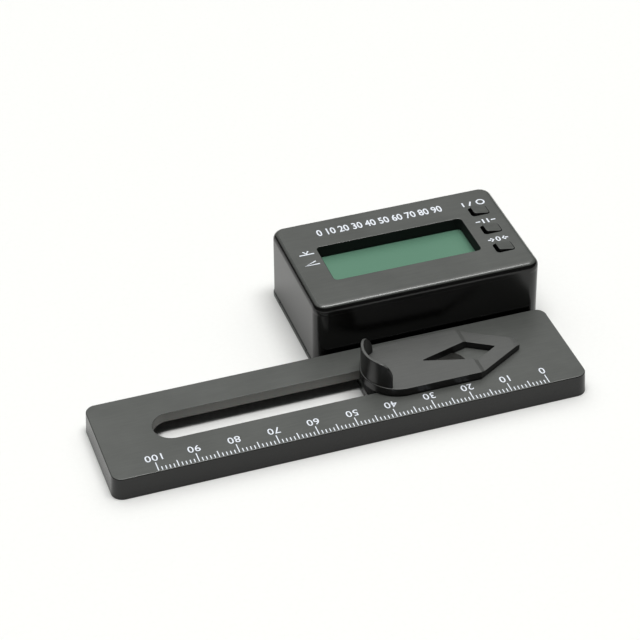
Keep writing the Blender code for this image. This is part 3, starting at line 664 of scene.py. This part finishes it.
# Case body: four leaning walls on a low plinth, with the battery door's slot at the left foot
caseOptions = {
    "corner": 3.6 * mm, "plinth": 1.1 * mm, "step": 0.2 * mm, "lean": 0.1 * mm, "wall": 2.0 * mm,
    "footEdge": 0.1 * mm, "plinthEdge": 0.06 * mm, "topEdge": 0.005 * mm,
    "floor": 3.2 * mm, "floorFillet": 0.3 * mm, "innerCorner": 1.6 * mm,
    "doorGap": 0.05 * mm, "doorGrooveLow": 0.85 * mm, "doorCorner": 0.2 * mm, "doorOpening": 2.4 * mm,
    "bayBelow": 0.3 * mm, "bayHeight": 3.0 * mm, "bayCorner": 0.5 * mm,
    "coverEdge": 1.9 * mm, "coverLow": 0.005 * mm, "coverJoint": 0.006 * mm, "insetTop": 0.3 * mm,
    "windowEdge": 0.25 * mm, "windowCorner": 1.1 * mm, "windowMargin": 0.1 * mm,
    "wellWall": 1.0 * mm, "wellGap": 0.3 * mm, "lcdOverlap": 1.35 * mm, "keyHoleEdge": 0.05 * mm,
    "postRadius": 1.85 * mm, "postGap": 0.3 * mm, "boreRadius": 1.1 * mm,
    "seatRadius": 1.9 * mm, "seatAbove": 1.35 * mm, "screws": 4,
}
keyPieces = {"power_button": "powerKey", "hold_button": "holdKey", "zero_button": "zeroKey"}
# The caps are wedges: proud at the left and nearly flush at the right
keyOptions = {
    "length": 4.34 * mm, "width": 3.59 * mm, "corner": 0.7 * mm, "edge": 0.14 * mm,
    "shiftX": 0.3 * mm, "shiftY": 0.125 * mm,
    "slope": 0.8 * mm, "holeLength": 5.0 * mm, "holeWidth": 3.9 * mm, "holeCorner": 0.8 * mm,
    "flangeHeight": 0.6 * mm, "flangeCorner": 0.3 * mm,
}
doorOptions = {
    "tongueLow": 1.15 * mm, "tongueInset": 0.22 * mm, "corner": 0.3 * mm,
    "side": 0.75 * mm, "panelCorner": 0.08 * mm, "edge": 0.06 * mm,
    "grips": 5, "gripRadius": 0.4 * mm, "gripPitch": 2.0 * mm, "gripStart": 2.0 * mm, "gripShare": 0.5,
}
windowCentre = (lcdMid.x, lcdMid.y)
windowSize = [side - 2 * caseOptions["lcdOverlap"] for side in lcdSize[:2]]


def makeCaseBody():
    o = caseOptions
    top = bodyHigh.z
    step, lean, plinth = o["step"], o["lean"], o["plinth"]
    bm = bmesh.new()
    outer = roundedRectangle(bodyMid, bodySize, o["corner"], steps=16)
    profile = roundProfile((farOff, 0), (0, 0), (0, plinth), o["footEdge"], steps=2)
    profile += roundProfile((0, 0), (0, plinth), (step, plinth), o["plinthEdge"], steps=2)
    profile += [(step, plinth)]
    profile += roundProfile((step, plinth), (step + lean, top), (farOff, top), o["topEdge"], steps=5)
    outerFoot, outerTop = addRings(bm, outer, profile)
    inner = roundedRectangle(bodyMid, [side - 2 * o["wall"] for side in bodySize[:2]], o["innerCorner"], steps=6)
    profile = roundProfile((farOff, o["floor"]), (0, o["floor"]), (0, top), o["floorFillet"], steps=3)
    innerFoot, innerTop = addRings(bm, inner, profile + [(0, top)])
    closeEnds(bm, outerFoot, innerFoot)
    fillFlat(bm, outerTop, innerTop)
    body = finishMesh("caseBody", bm)
    gap = o["doorGap"]
    left, right = bodyLow.x - beyond, doorHigh.x + gap
    middle, length = (left + right) / 2, right - left
    panelWidth = doorSize.y - 2 * doorOptions["side"] + 2 * gap
    grooveWidth = doorSize.y + 2 * gap
    grooveHeight = doorHigh.z + gap - o["doorGrooveLow"]
    baySize = (2 * (doorHigh.x - bodyMid.x), panelWidth - gap)
    cuts = [blockSolid("doorOpening", (middle, doorMid.y), (length, panelWidth), -beyond, o["doorOpening"],
                       o["doorCorner"]),
            blockSolid("doorGroove", (middle, doorMid.y), (length, grooveWidth), o["doorGrooveLow"],
                       grooveHeight, o["doorCorner"]),
            blockSolid("bayOpening", (bodyMid.x, doorMid.y), baySize, doorHigh.z - o["bayBelow"],
                       o["bayHeight"], o["bayCorner"])]
    for number in range(o["screws"]):
        low, _, mid, _ = boxOf("case_screw_%d" % (number + 1))
        cuts.append(roundSolid("screwSeat", mid, o["seatRadius"], -beyond, low.z + o["seatAbove"]))
        cuts.append(roundSolid("screwBore", mid, o["boreRadius"], -beyond, o["floor"] + beyond))
    combine(body, cuts, "DIFFERENCE", sharpAngle)
    weightNormals(body)
    show(body, "case_body", caseAbs)


def makeCover():
    o = caseOptions
    top, base = coverTop, bodyHigh.z + o["coverJoint"]
    inset = o["insetTop"]
    bm = bmesh.new()
    outer = roundedRectangle(bodyMid, bodySize, o["corner"], steps=20)
    profile = roundProfile((farOff, base), (inset, base), (inset, top), o["coverLow"], steps=2)
    profile += roundProfile((inset, base), (inset, top), (farOff, top), o["coverEdge"], steps=10)
    outerFoot, outerTop = addRings(bm, outer, profile)
    wellBase = lcdHigh.z + o["wellGap"]
    window = roundedRectangle(windowCentre, windowSize, o["windowCorner"], steps=8)
    profile = [(0, wellBase)] + roundProfile((0, wellBase), (0, top), (-farOff, top), o["windowEdge"], steps=6)
    wellInner, windowTop = addRings(bm, window, profile)
    wellSize = [side + 2 * o["wellWall"] for side in windowSize]
    well = roundedRectangle(windowCentre, wellSize, o["windowCorner"] + o["wellWall"], steps=8)
    wellFoot, wellTop = addRings(bm, well, [(0, wellBase), (0, base)])
    topHoles, footHoles = [windowTop], [wellTop]
    profile = [(0, base)] + roundProfile((0, base), (0, top), (-farOff, top), o["keyHoleEdge"], steps=3)
    holeSize = (keyOptions["holeLength"], keyOptions["holeWidth"])
    for node in keyPieces:
        hole = roundedRectangle(boxOf(node)[2], holeSize, keyOptions["holeCorner"], steps=6)
        lower, upper = addRings(bm, hole, profile)
        topHoles.append(upper)
        footHoles.append(lower)
    profile = [(0, boardTop + o["postGap"]), (0, base)]
    for number in range(o["screws"]):
        mid = boxOf("case_screw_%d" % (number + 1))[2]
        postFoot, postTop = addRings(bm, circlePoints(mid, o["postRadius"]), profile)
        boreFoot, boreTop = addRings(bm, circlePoints(mid, o["boreRadius"]), profile)
        footHoles.append(postTop)
        fillFlat(bm, postFoot, boreFoot)
        fillFlat(bm, boreTop)
    fillFlat(bm, outerTop, *topHoles)
    fillFlat(bm, outerFoot, *footHoles)
    fillFlat(bm, wellFoot, wellInner)
    cover = weightNormals(finishMesh("caseCover", bm))
    show(cover, "top_cover", caseAbs)
    reach = [side / 2 + o["windowMargin"] for side in windowSize]
    finishPocket(cover, wellAbs, (windowCentre[0] - reach[0], windowCentre[1] - reach[1]),
                 (windowCentre[0] + reach[0], windowCentre[1] + reach[1]))


def makeKeys():
    o = keyOptions
    for node, name in keyPieces.items():
        low, high, mid, size = boxOf(node)
        bm = bmesh.new()
        middleX = mid.x + o["shiftX"]
        cap = roundedRectangle((middleX, mid.y + o["shiftY"]), (o["length"], o["width"]), o["corner"], steps=8)
        flange = roundedRectangle(mid, size, o["flangeCorner"], steps=4)
        flangeTop = low.z + o["flangeHeight"]
        flangeFoot, flangeUpper = addRings(bm, flange, [(0, low.z), (0, flangeTop)])
        profile = [(0, flangeTop)]
        profile += roundProfile((0, flangeTop), (0, high.z), (farOff, high.z), o["edge"], steps=6)
        capFoot, capTop = addRings(bm, cap, profile)
        fillFlat(bm, flangeFoot)
        fillFlat(bm, flangeUpper, capFoot)
        fillFlat(bm, capTop)
        leftEnd = middleX - o["length"] / 2
        for vert in bm.verts:
            if vert.co.z > mid.z:
                vert.co.z -= o["slope"] * (vert.co.x - leftEnd) / o["length"]
        show(weightNormals(finishMesh(name, bm)), node, keyAbs)


def makeDoor():
    o = doorOptions
    low, high, mid, size = doorLow, doorHigh, doorMid, doorSize
    bm = bmesh.new()
    # The tongue's end lies in the wall's plane, the panel's end in the plinth's
    inset = o["tongueInset"]
    tongue = roundedRectangle((mid.x + inset / 2, mid.y), (size.x - inset, size.y), o["corner"], steps=4)
    panel = roundedRectangle(mid, (size.x, size.y - 2 * o["side"]), o["panelCorner"], steps=4)
    profile = roundProfile((farOff, low.z), (0, low.z), (0, o["tongueLow"]), o["edge"], steps=3)
    panelFoot, panelTop = addRings(bm, panel, profile + [(0, o["tongueLow"])])
    tongueFoot, tongueTop = addRings(bm, tongue, [(0, o["tongueLow"]), (0, high.z)])
    fillFlat(bm, panelFoot)
    fillFlat(bm, tongueFoot, panelTop)
    fillFlat(bm, tongueTop)
    door = finishMesh("batteryDoor", bm)
    grooves = []
    gripHalf = size.y * o["gripShare"] / 2
    for number in range(o["grips"]):
        x = low.x + o["gripStart"] + (number + 1) * o["gripPitch"]
        groove = roundSolid("grip", (0, 0), o["gripRadius"], -gripHalf, gripHalf, steps=16)
        groove.data.transform(Matrix.Translation((x, mid.y, low.z)) @ Matrix.Rotation(math.pi / 2, 4, "X"))
        grooves.append(groove)
    combine(door, grooves, "DIFFERENCE", sharpAngle)
    weightNormals(door)
    show(door, "battery_door", caseAbs)


makeCaseBody()
makeCover()
makeKeys()
makeDoor()
print("case, cover, keys and door made")


# Display: two sheets of glass with the green film on top
displayOptions = {
    "sheet": 0.65 * mm, "ledge": 1.6 * mm, "sheetCorner": 0.15 * mm, "sheetTrim": 0.1 * mm, "edge": 0.06 * mm,
    "film": 0.2 * mm, "filmInset": 0.7 * mm, "filmOverlap": 1.0 * mm, "filmCorner": 0.4 * mm,
    "filmEdge": 0.05 * mm,
}


def makeDisplay():
    o = displayOptions
    bm = bmesh.new()
    step, top = lcdLow.z + o["sheet"], lcdHigh.z - o["film"]
    lower = roundedRectangle(lcdMid, lcdSize, o["sheetCorner"], steps=3)
    lowerFoot, lowerTop = addRings(bm, lower, [(0, lcdLow.z), (0, step)])
    upperMid = (lcdMid.x, lcdMid.y + o["ledge"] / 2)
    upperSize = (lcdSize.x - o["sheetTrim"], lcdSize.y - o["ledge"] - o["sheetTrim"])
    upper = roundedRectangle(upperMid, upperSize, o["sheetCorner"], steps=3)
    profile = [(0, step)] + roundProfile((0, step), (0, top), (farOff, top), o["edge"], steps=2)
    upperFoot, upperTop = addRings(bm, upper, profile)
    fillFlat(bm, lowerFoot)
    fillFlat(bm, lowerTop, upperFoot)
    fillFlat(bm, upperTop)
    show(weightNormals(finishMesh("displayGlass", bm)), "lcd_panel", cellGlass)
    bm = bmesh.new()
    filmSize = (lcdSize.x - 2 * o["filmInset"], windowSize[1] + 2 * o["filmOverlap"])
    film = roundedRectangle(upperMid, filmSize, o["filmCorner"], steps=5)
    high = lcdHigh.z
    profile = [(0, top)] + roundProfile((0, top), (0, high), (farOff, high), o["filmEdge"], steps=2)
    closeEnds(bm, *addRings(bm, film, profile))
    piece = weightNormals(finishMesh("displayFilm", bm))
    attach(piece, bodyOf["lcd_panel"])
    piece.data.materials.append(filmGreen)


makeDisplay()
print("display made")


# Screws: pan heads with a cross recess, turned from one profile
screwOptions = {
    "shankRadius": 0.8 * mm, "headHeight": 0.9 * mm, "steps": 28, "domeSteps": 6,
    "tipShare": 0.2, "taperShare": 0.75,            # of the shank's radius
    "taperLength": 0.4 * mm, "pointLength": 0.9 * mm,
    "rimShare": 0.35, "crownShare": 0.55,           # of the head's height and of its radius
    "recessReach": 0.62, "recessLow": 0.3, "recessWidth": 0.42 * mm, "recessCorner": 0.05 * mm,
}
# headUp is the way from the shank's end to the head
screwKinds = {
    "caseScrew": {"node": "case_screw", "material": zincSteel, "headRadius": 1.6 * mm, "headUp": (0, 0, -1)},
    "plateScrew": {"node": "plate_screw", "material": blackZincSteel, "headRadius": 1.4 * mm,
                   "headUp": (0, -1, 0)},
    "pointerScrew": {"node": "slider_screw", "material": zincSteel, "headRadius": 1.6 * mm,
                     "headUp": (0, 0, -1)},
}


def makeScrew(name, number):
    o, kind = screwOptions, screwKinds[name]
    node = "%s_%d" % (kind["node"], number)
    _, _, mid, size = boxOf(node)
    shank, headHeight, head = o["shankRadius"], o["headHeight"], kind["headRadius"]
    length = max(size)
    end = headHeight - length
    profile = [(shank * o["tipShare"], end), (shank * o["taperShare"], end + o["taperLength"]),
               (shank, end + o["pointLength"]), (shank, 0), (head, 0), (head, headHeight * o["rimShare"])]
    for step in range(1, o["domeSteps"] + 1):
        angle = math.radians(90 * step / o["domeSteps"])
        profile.append((head * (o["crownShare"] + (1 - o["crownShare"]) * math.cos(angle)),
                        headHeight * (o["rimShare"] + (1 - o["rimShare"]) * math.sin(angle))))
    screw = turnedSolid("%s%d" % (name, number), profile, o["steps"])
    recess = 2 * head * o["recessReach"]
    arms = [blockSolid("arm", (0, 0), armSize, headHeight * o["recessLow"], headHeight, o["recessCorner"])
            for armSize in ((recess, o["recessWidth"]), (o["recessWidth"], recess))]
    combine(screw, arms, "DIFFERENCE", sharpAngle)
    headUp = Vector(kind["headUp"])
    turn = Vector((0, 0, 1)).rotation_difference(headUp).to_matrix().to_4x4()
    headEnd = mid + headUp * length / 2
    screw.data.transform(Matrix.Translation(headEnd - headUp * headHeight) @ turn)
    weightNormals(screw)
    show(screw, node, kind["material"])


for number in (1, 2, 3, 4):
    makeScrew("caseScrew", number)
for number in (1, 2):
    makeScrew("plateScrew", number)
    makeScrew("pointerScrew", number)
print("screws made")


# Printing: a film of ink 0.02 mm thick
printOptions = {
    "ink": 0.02 * mm, "lift": 0.002 * mm, "corner": 0.22,       # corner as a share of a line's width
    "zeroMargin": 10.72 * mm, "tickPitch": 1.0 * mm, "tickWidth": 0.27 * mm, "tickStart": 0.34 * mm,
    "tickEnds": {10: 3.45 * mm, 5: 2.6 * mm, 1: 1.62 * mm}, "count": 100, "numeralEvery": 10,
    "numeralHeight": 2.3 * mm, "numeralMiddle": 5.15 * mm, "numeralSpread": 1.06,
    "title": "0 10 20 30 40 50 60 70 80 90",
    "titleHeight": 2.85 * mm, "titleFrom": 10.5 * mm, "titleTo": 45.1 * mm, "titleY": 27.6 * mm,
    "signX": (3.1 * mm, 7.1 * mm), "levelY": 20.2 * mm, "angleY": 15.5 * mm, "signHalf": 0.7 * mm,
    "keySignUp": 3.85 * mm, "keySignHalf": 0.92 * mm, "stroke": 0.44 * mm,
    "weight": 0.008, "titleWeight": 0.02,
}
# Places in the key signs, in half heights of a sign
signOptions = {
    "bar": 3.2, "slashLow": 1.5, "slashHigh": 0.6, "ring": 2.1, "ringRadius": 1.1,
    "bars": 0.7, "dash": 1.6, "end": 3.0,
    "nought": 2.2, "arrowTip": 1.35, "arrowBack": 2.1, "arrowHalf": 0.8,
}


# One small ink rectangle, with corners rounded by the spread of the ink
def inkBox(bm, x0, x1, y0, y1, z):
    size = (x1 - x0, y1 - y0)
    centre = ((x0 + x1) / 2, (y0 + y1) / 2)
    points = roundedRectangle(centre, size, min(size) * printOptions["corner"], steps=3)
    closeEnds(bm, *addRings(bm, points, [(0, z), (0, z + printOptions["ink"])]))


# A line of ink along points, open or closed to a ring
def inkStroke(bm, points, width, z, closed=False):
    count = len(points)
    heights = (z, z + printOptions["ink"])
    sides = []
    for i, point in enumerate(points):
        here = Vector(point)
        before = Vector(points[i - 1]) if (closed or i) else here
        after = Vector(points[(i + 1) % count]) if (closed or i < count - 1) else here
        way = (after - before).normalized()
        sides.append((here, Vector((-way.y, way.x)) * width / 2))
    if closed:
        outer, outerTop = [[bm.verts.new((*(p + s), high)) for p, s in sides] for high in heights]
        inner, innerTop = [[bm.verts.new((*(p - s), high)) for p, s in sides] for high in heights]
        for lower, upper in ((outer, inner), (outerTop, innerTop), (outer, outerTop), (inner, innerTop)):
            joinRings(bm, [lower, upper])
    else:
        outline = [p + s for p, s in sides] + [p - s for p, s in reversed(sides)]
        closeEnds(bm, *addRings(bm, outline, [(0, high) for high in heights]))


# Figures as a flat mesh of the given height, centred, in the built-in typeface
def textMesh(body, height, spread, weight):
    curve = bpy.data.curves.new("figures", "FONT")
    curve.body = body
    curve.offset = weight
    curve.align_x = "CENTER"
    curve.size = 1.0
    curve.space_character = spread
    curve.resolution_u = 4
    obj = addObject("figures", curve)
    mesh = evaluatedMesh(obj)
    bpy.data.objects.remove(obj, do_unlink=True)
    bpy.data.curves.remove(curve)
    ys = [v.co.y for v in mesh.vertices]
    xs = [v.co.x for v in mesh.vertices]
    scale = height / (max(ys) - min(ys))
    middle = Vector(((max(xs) + min(xs)) / 2, (max(ys) + min(ys)) / 2, 0))
    mesh.transform(Matrix.Scale(scale, 4) @ Matrix.Translation(-middle))
    return mesh


# Puts figures into bm as a film of ink
def addFigures(bm, body, height, centre, z, weight, turned=False, spread=1.0, width=None):
    mesh = textMesh(body, height, spread, weight)
    part = bmesh.new()
    part.from_mesh(mesh)
    bpy.data.meshes.remove(mesh)
    bmesh.ops.remove_doubles(part, verts=part.verts, dist=touching)
    if width:
        xs = [v.co.x for v in part.verts]
        bmesh.ops.scale(part, vec=(width / (max(xs) - min(xs)), 1, 1), verts=part.verts)
    if turned:
        bmesh.ops.rotate(part, matrix=Matrix.Rotation(math.pi, 3, "Z"), verts=part.verts)
    bmesh.ops.translate(part, vec=(centre[0], centre[1], z), verts=part.verts)
    made = bmesh.ops.extrude_face_region(part, geom=part.faces[:])
    lifted = [item for item in made["geom"] if isinstance(item, bmesh.types.BMVert)]
    bmesh.ops.translate(part, vec=(0, 0, printOptions["ink"]), verts=lifted)
    bmesh.ops.recalc_face_normals(part, faces=part.faces)
    joined = bpy.data.meshes.new("joined")
    part.to_mesh(joined)
    part.free()
    bm.from_mesh(joined)
    bpy.data.meshes.remove(joined)


def makeScale():
    o = printOptions
    z = plateHigh.z + o["lift"]
    zeroX = plateHigh.x - o["zeroMargin"]
    edgeY = plateLow.y + plateOptions["draft"]
    half = o["tickWidth"] / 2
    bm = bmesh.new()
    for count in range(o["count"] + 1):
        x = zeroX - count * o["tickPitch"]
        end = next(end for step, end in o["tickEnds"].items() if count % step == 0)
        inkBox(bm, x - half, x + half, edgeY + o["tickStart"], edgeY + end, z)
        if count % o["numeralEvery"] == 0:
            addFigures(bm, str(count), o["numeralHeight"], (x, edgeY + o["numeralMiddle"]), z, o["weight"],
                       turned=True, spread=o["numeralSpread"])
    piece = finishMesh("scalePrint", bm)
    piece.data.materials.append(whiteInk)
    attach(piece, bodyOf["base_plate"])


# Plain numbers and signs where the case is printed
def makeCasePrint():
    o, s = printOptions, signOptions
    z = coverTop + o["lift"]
    bm = bmesh.new()

    def draw(points, closed=False):
        inkStroke(bm, points, o["stroke"], z, closed)

    middle = (o["titleFrom"] + o["titleTo"]) / 2
    addFigures(bm, o["title"], o["titleHeight"], (middle, o["titleY"]), z, o["titleWeight"],
               width=o["titleTo"] - o["titleFrom"])
    # A level line with its mark, and two lines that open at an angle
    left, right = o["signX"]
    half = o["signHalf"]
    low, high = o["levelY"] - half, o["levelY"] + half
    middle = (left + right) / 2
    draw([(left, low), (right, low)])
    draw([(middle - half, high), (middle, low + half / 2), (middle + half, high)])
    low, high = o["angleY"] - half, o["angleY"] + half
    draw([(right, low), (left, low), (right - half, high)])
    half = o["keySignHalf"]
    for node in keyPieces:
        mid = boxOf(node)[2]
        x, y = mid.x, mid.y + o["keySignUp"]
        if node == "power_button":
            # Bar, slash and ring
            draw([(x - s["bar"] * half, y - half), (x - s["bar"] * half, y + half)])
            draw([(x - s["slashLow"] * half, y - half), (x - s["slashHigh"] * half, y + half)])
            draw(circlePoints((x + s["ring"] * half, y), s["ringRadius"] * half, steps=24), True)
        elif node == "hold_button":
            # Two upright bars between two dashes
            for side in (-half, half):
                draw([(x + side * s["bars"], y - half), (x + side * s["bars"], y + half)])
                draw([(x + side * s["dash"], y), (x + side * s["end"], y)])
        else:
            # A nought between two arrows
            addFigures(bm, "0", s["nought"] * half, (x, y), z, o["titleWeight"])
            for side in (-half, half):
                tip, back = x + side * s["arrowTip"], x + side * s["arrowBack"]
                draw([(back, y + s["arrowHalf"] * half), (tip, y), (back, y - s["arrowHalf"] * half)])
                draw([(back, y), (x + side * s["end"], y)])
    piece = finishMesh("casePrint", bm)
    piece.data.materials.append(whiteInk)
    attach(piece, bodyOf["top_cover"])


makeScale()
makeCasePrint()
print("printing made")


# Cells, turned from one profile, tail to nub. The edges are pairs of millimetres, sideways and up.
cellOptions = {
    "radius": 5.1 * mm, "length": 44.5 * mm, "tailRadius": 2.6 * mm, "steps": 48,
    "nubRadius": 1.9 * mm, "nub": 1.0 * mm, "nubBevel": 0.2 * mm,
    "tailEdge": ((-0.5, 0), (-0.15, 0.15), (0, 0.5)),               # from the jacket and the tail's end
    "rimEdge": ((0, -0.5), (-0.15, -0.12), (-0.6, 0)),              # from the jacket and the rim
    "nubEdge": ((0.9, -0.1), (0.15, -0.1), (0, 0.1), (0, 0.8)),     # from the nub and the rim
}


def makeCells():
    o = cellOptions
    half = o["length"] / 2
    rim = half - o["nub"]
    profile = [(o["tailRadius"], -half)]
    for radius, height, edge in ((o["radius"], -half, "tailEdge"), (o["radius"], rim, "rimEdge"),
                                 (o["nubRadius"], rim, "nubEdge")):
        profile += [(radius + out * mm, height + up * mm) for out, up in o[edge]]
    profile += [(o["nubRadius"] - o["nubBevel"], half)]
    for number, turn in ((1, math.pi / 2), (2, -math.pi / 2)):
        node = "battery_%d" % number
        cell = turnedSolid("cell%d" % number, profile, o["steps"])
        cell.rotation_euler = (0, turn, 0)
        cell.location = boxOf(node)[2]
        show(cell, node, cellJacket)


makeCells()
print("cells made")

# Nodes that keep their own shape, with a finish each
keptFinishes = {
    plateAbs: ("slider_retainer",),
    nickelSteel: ("battery_spring_1", "battery_spring_2", "contact_bridge", "contact_positive",
                  "contact_negative"),
    laminate: ("circuit_board",),
    chipResin: ("controller_chip", "tilt_sensor", "lcd_frame", "key_switch_1", "key_switch_2",
                "key_switch_3"),
    stripRubber: ("contact_strip_1", "contact_strip_2"),
}
for material, nodes in keptFinishes.items():
    for node in nodes:
        data = frame["nodes"][node].data
        data.materials.clear()
        data.materials.append(material)
print("kept nodes finished")


# Floor, light and camera
def makeFloor():
    o = {"half": 1.6, "dark": "#f2f2f0", "light": "#f6f6f4",
         "fibreMm": 10 / 9,         # paper's fibres are about 0.03 mm thick; drawn coarser
         "detail": 4.0, "roughness": 0.8, "specular": 0.2}
    half = o["half"]
    mesh = bpy.data.meshes.new("floor")
    corners = [(-half, -half, 0), (half, -half, 0), (half, half, 0), (-half, half, 0)]
    mesh.from_pydata(corners, [], [(0, 1, 2, 3)])
    floor = addObject("floor", mesh)
    material, tree, shader, place = newMaterial("whitePaperSweep")
    fibre = addNode(tree, "ShaderNodeTexNoise", {"Scale": 1 / o["fibreMm"] / mm, "Detail": o["detail"]},
                    {"Vector": place})
    tone = addNode(tree, "ShaderNodeMix", {"data_type": "RGBA", 6: linearColour(o["dark"]),
                                           7: linearColour(o["light"])}, {0: fibre.outputs[0]})
    setShader(shader, {"Base Color": tone.outputs[2], "Roughness": o["roughness"],
                       "Specular IOR Level": o["specular"]})
    mesh.materials.append(material)


lightOptions = {
    "horizon": 0.04, "sky": 1.5, "skyFrom": 0.36, "skyTo": 0.75,
    "glowWay": (0.12, 0.5, 0.858), "glowFrom": 0.55, "glowTo": 0.96, "awayShare": 0.03,
    "roomColour": "#fcfdfc", "backdrop": "#fafaf9",
    "lampPower": 2.02, "lampAngle": 16, "lampWay": (0.03, -0.06, 1.0), "lampCount": 5, "lampReach": 0.3,
}


# A white room: dim near the horizon, bright above the back, and one broad lamp overhead
def makeLight():
    o = lightOptions
    world = bpy.data.worlds.new("studio")
    bpy.context.scene.world = world
    world.use_nodes = True
    tree = world.node_tree
    tree.nodes.clear()
    way = addNode(tree, "ShaderNodeTexCoord").outputs["Generated"]
    height = addNode(tree, "ShaderNodeSeparateXYZ", None, {0: way}).outputs[2]
    toGlow = addNode(tree, "ShaderNodeVectorMath", {"operation": "DOT_PRODUCT", 1: o["glowWay"]}, {0: way})
    side = addNode(tree, "ShaderNodeMapRange", {1: o["glowFrom"], 2: o["glowTo"],
                                                3: o["awayShare"] * o["sky"], 4: o["sky"]},
                   {0: toGlow.outputs["Value"]})
    glow = addNode(tree, "ShaderNodeMapRange", {"interpolation_type": "SMOOTHSTEP", 1: o["skyFrom"],
                                                2: o["skyTo"], 3: o["horizon"]},
                   {0: height, 4: side.outputs[0]})
    room = addNode(tree, "ShaderNodeBackground", {"Color": linearColour(o["roomColour"])},
                   {"Strength": glow.outputs[0]})
    backdrop = addNode(tree, "ShaderNodeBackground", {"Color": linearColour(o["backdrop"]), "Strength": 1.0})
    seen = addNode(tree, "ShaderNodeLightPath").outputs["Is Camera Ray"]
    mixed = addNode(tree, "ShaderNodeMixShader", None, {0: seen, 1: room.outputs[0], 2: backdrop.outputs[0]})
    addNode(tree, "ShaderNodeOutputWorld", None, {0: mixed.outputs[0]})
    # A row of lamps stands for the long soft lamp
    light = bpy.data.lights.new("overheadLamp", "SUN")
    light.energy = o["lampPower"] / o["lampCount"]
    light.angle = math.radians(o["lampAngle"])
    for number in range(o["lampCount"]):
        lamp = addObject("overheadLamp", light)
        along = o["lampReach"] * (2 * number / (o["lampCount"] - 1) - 1)
        lampWay = Vector(o["lampWay"]) + Vector((along, 0, 0))
        lamp.rotation_euler = lampWay.to_track_quat("Z", "Y").to_euler()


def makeCamera():
    o = {"place": (-0.140334, -0.432147, 0.358774), "way": (0.24921, 0.75666, -0.60446), "roll": -0.775,
         "lens": 128.05}
    camera = bpy.data.cameras.new("camera")
    camera.lens = o["lens"]
    camera.sensor_width = 36
    camera.clip_start = 0.01
    obj = addObject("camera", camera)
    way = Vector(o["way"]).normalized()
    levelRight = way.cross(Vector((0, 0, 1))).normalized()
    levelUp = levelRight.cross(way)
    roll = math.radians(o["roll"])
    right = levelRight * math.cos(roll) + levelUp * math.sin(roll)
    up = right.cross(way)
    turn = Matrix((right, up, -way)).transposed().to_4x4()
    obj.matrix_world = Matrix.Translation(o["place"]) @ turn
    bpy.context.scene.camera = obj


makeFloor()
makeLight()
makeCamera()
bpy.context.scene.view_settings.view_transform = "Standard"
bpy.context.scene.view_settings.gamma = 0.88   # the camera's own picture is a little deeper in the darks
print("floor, light and camera made")
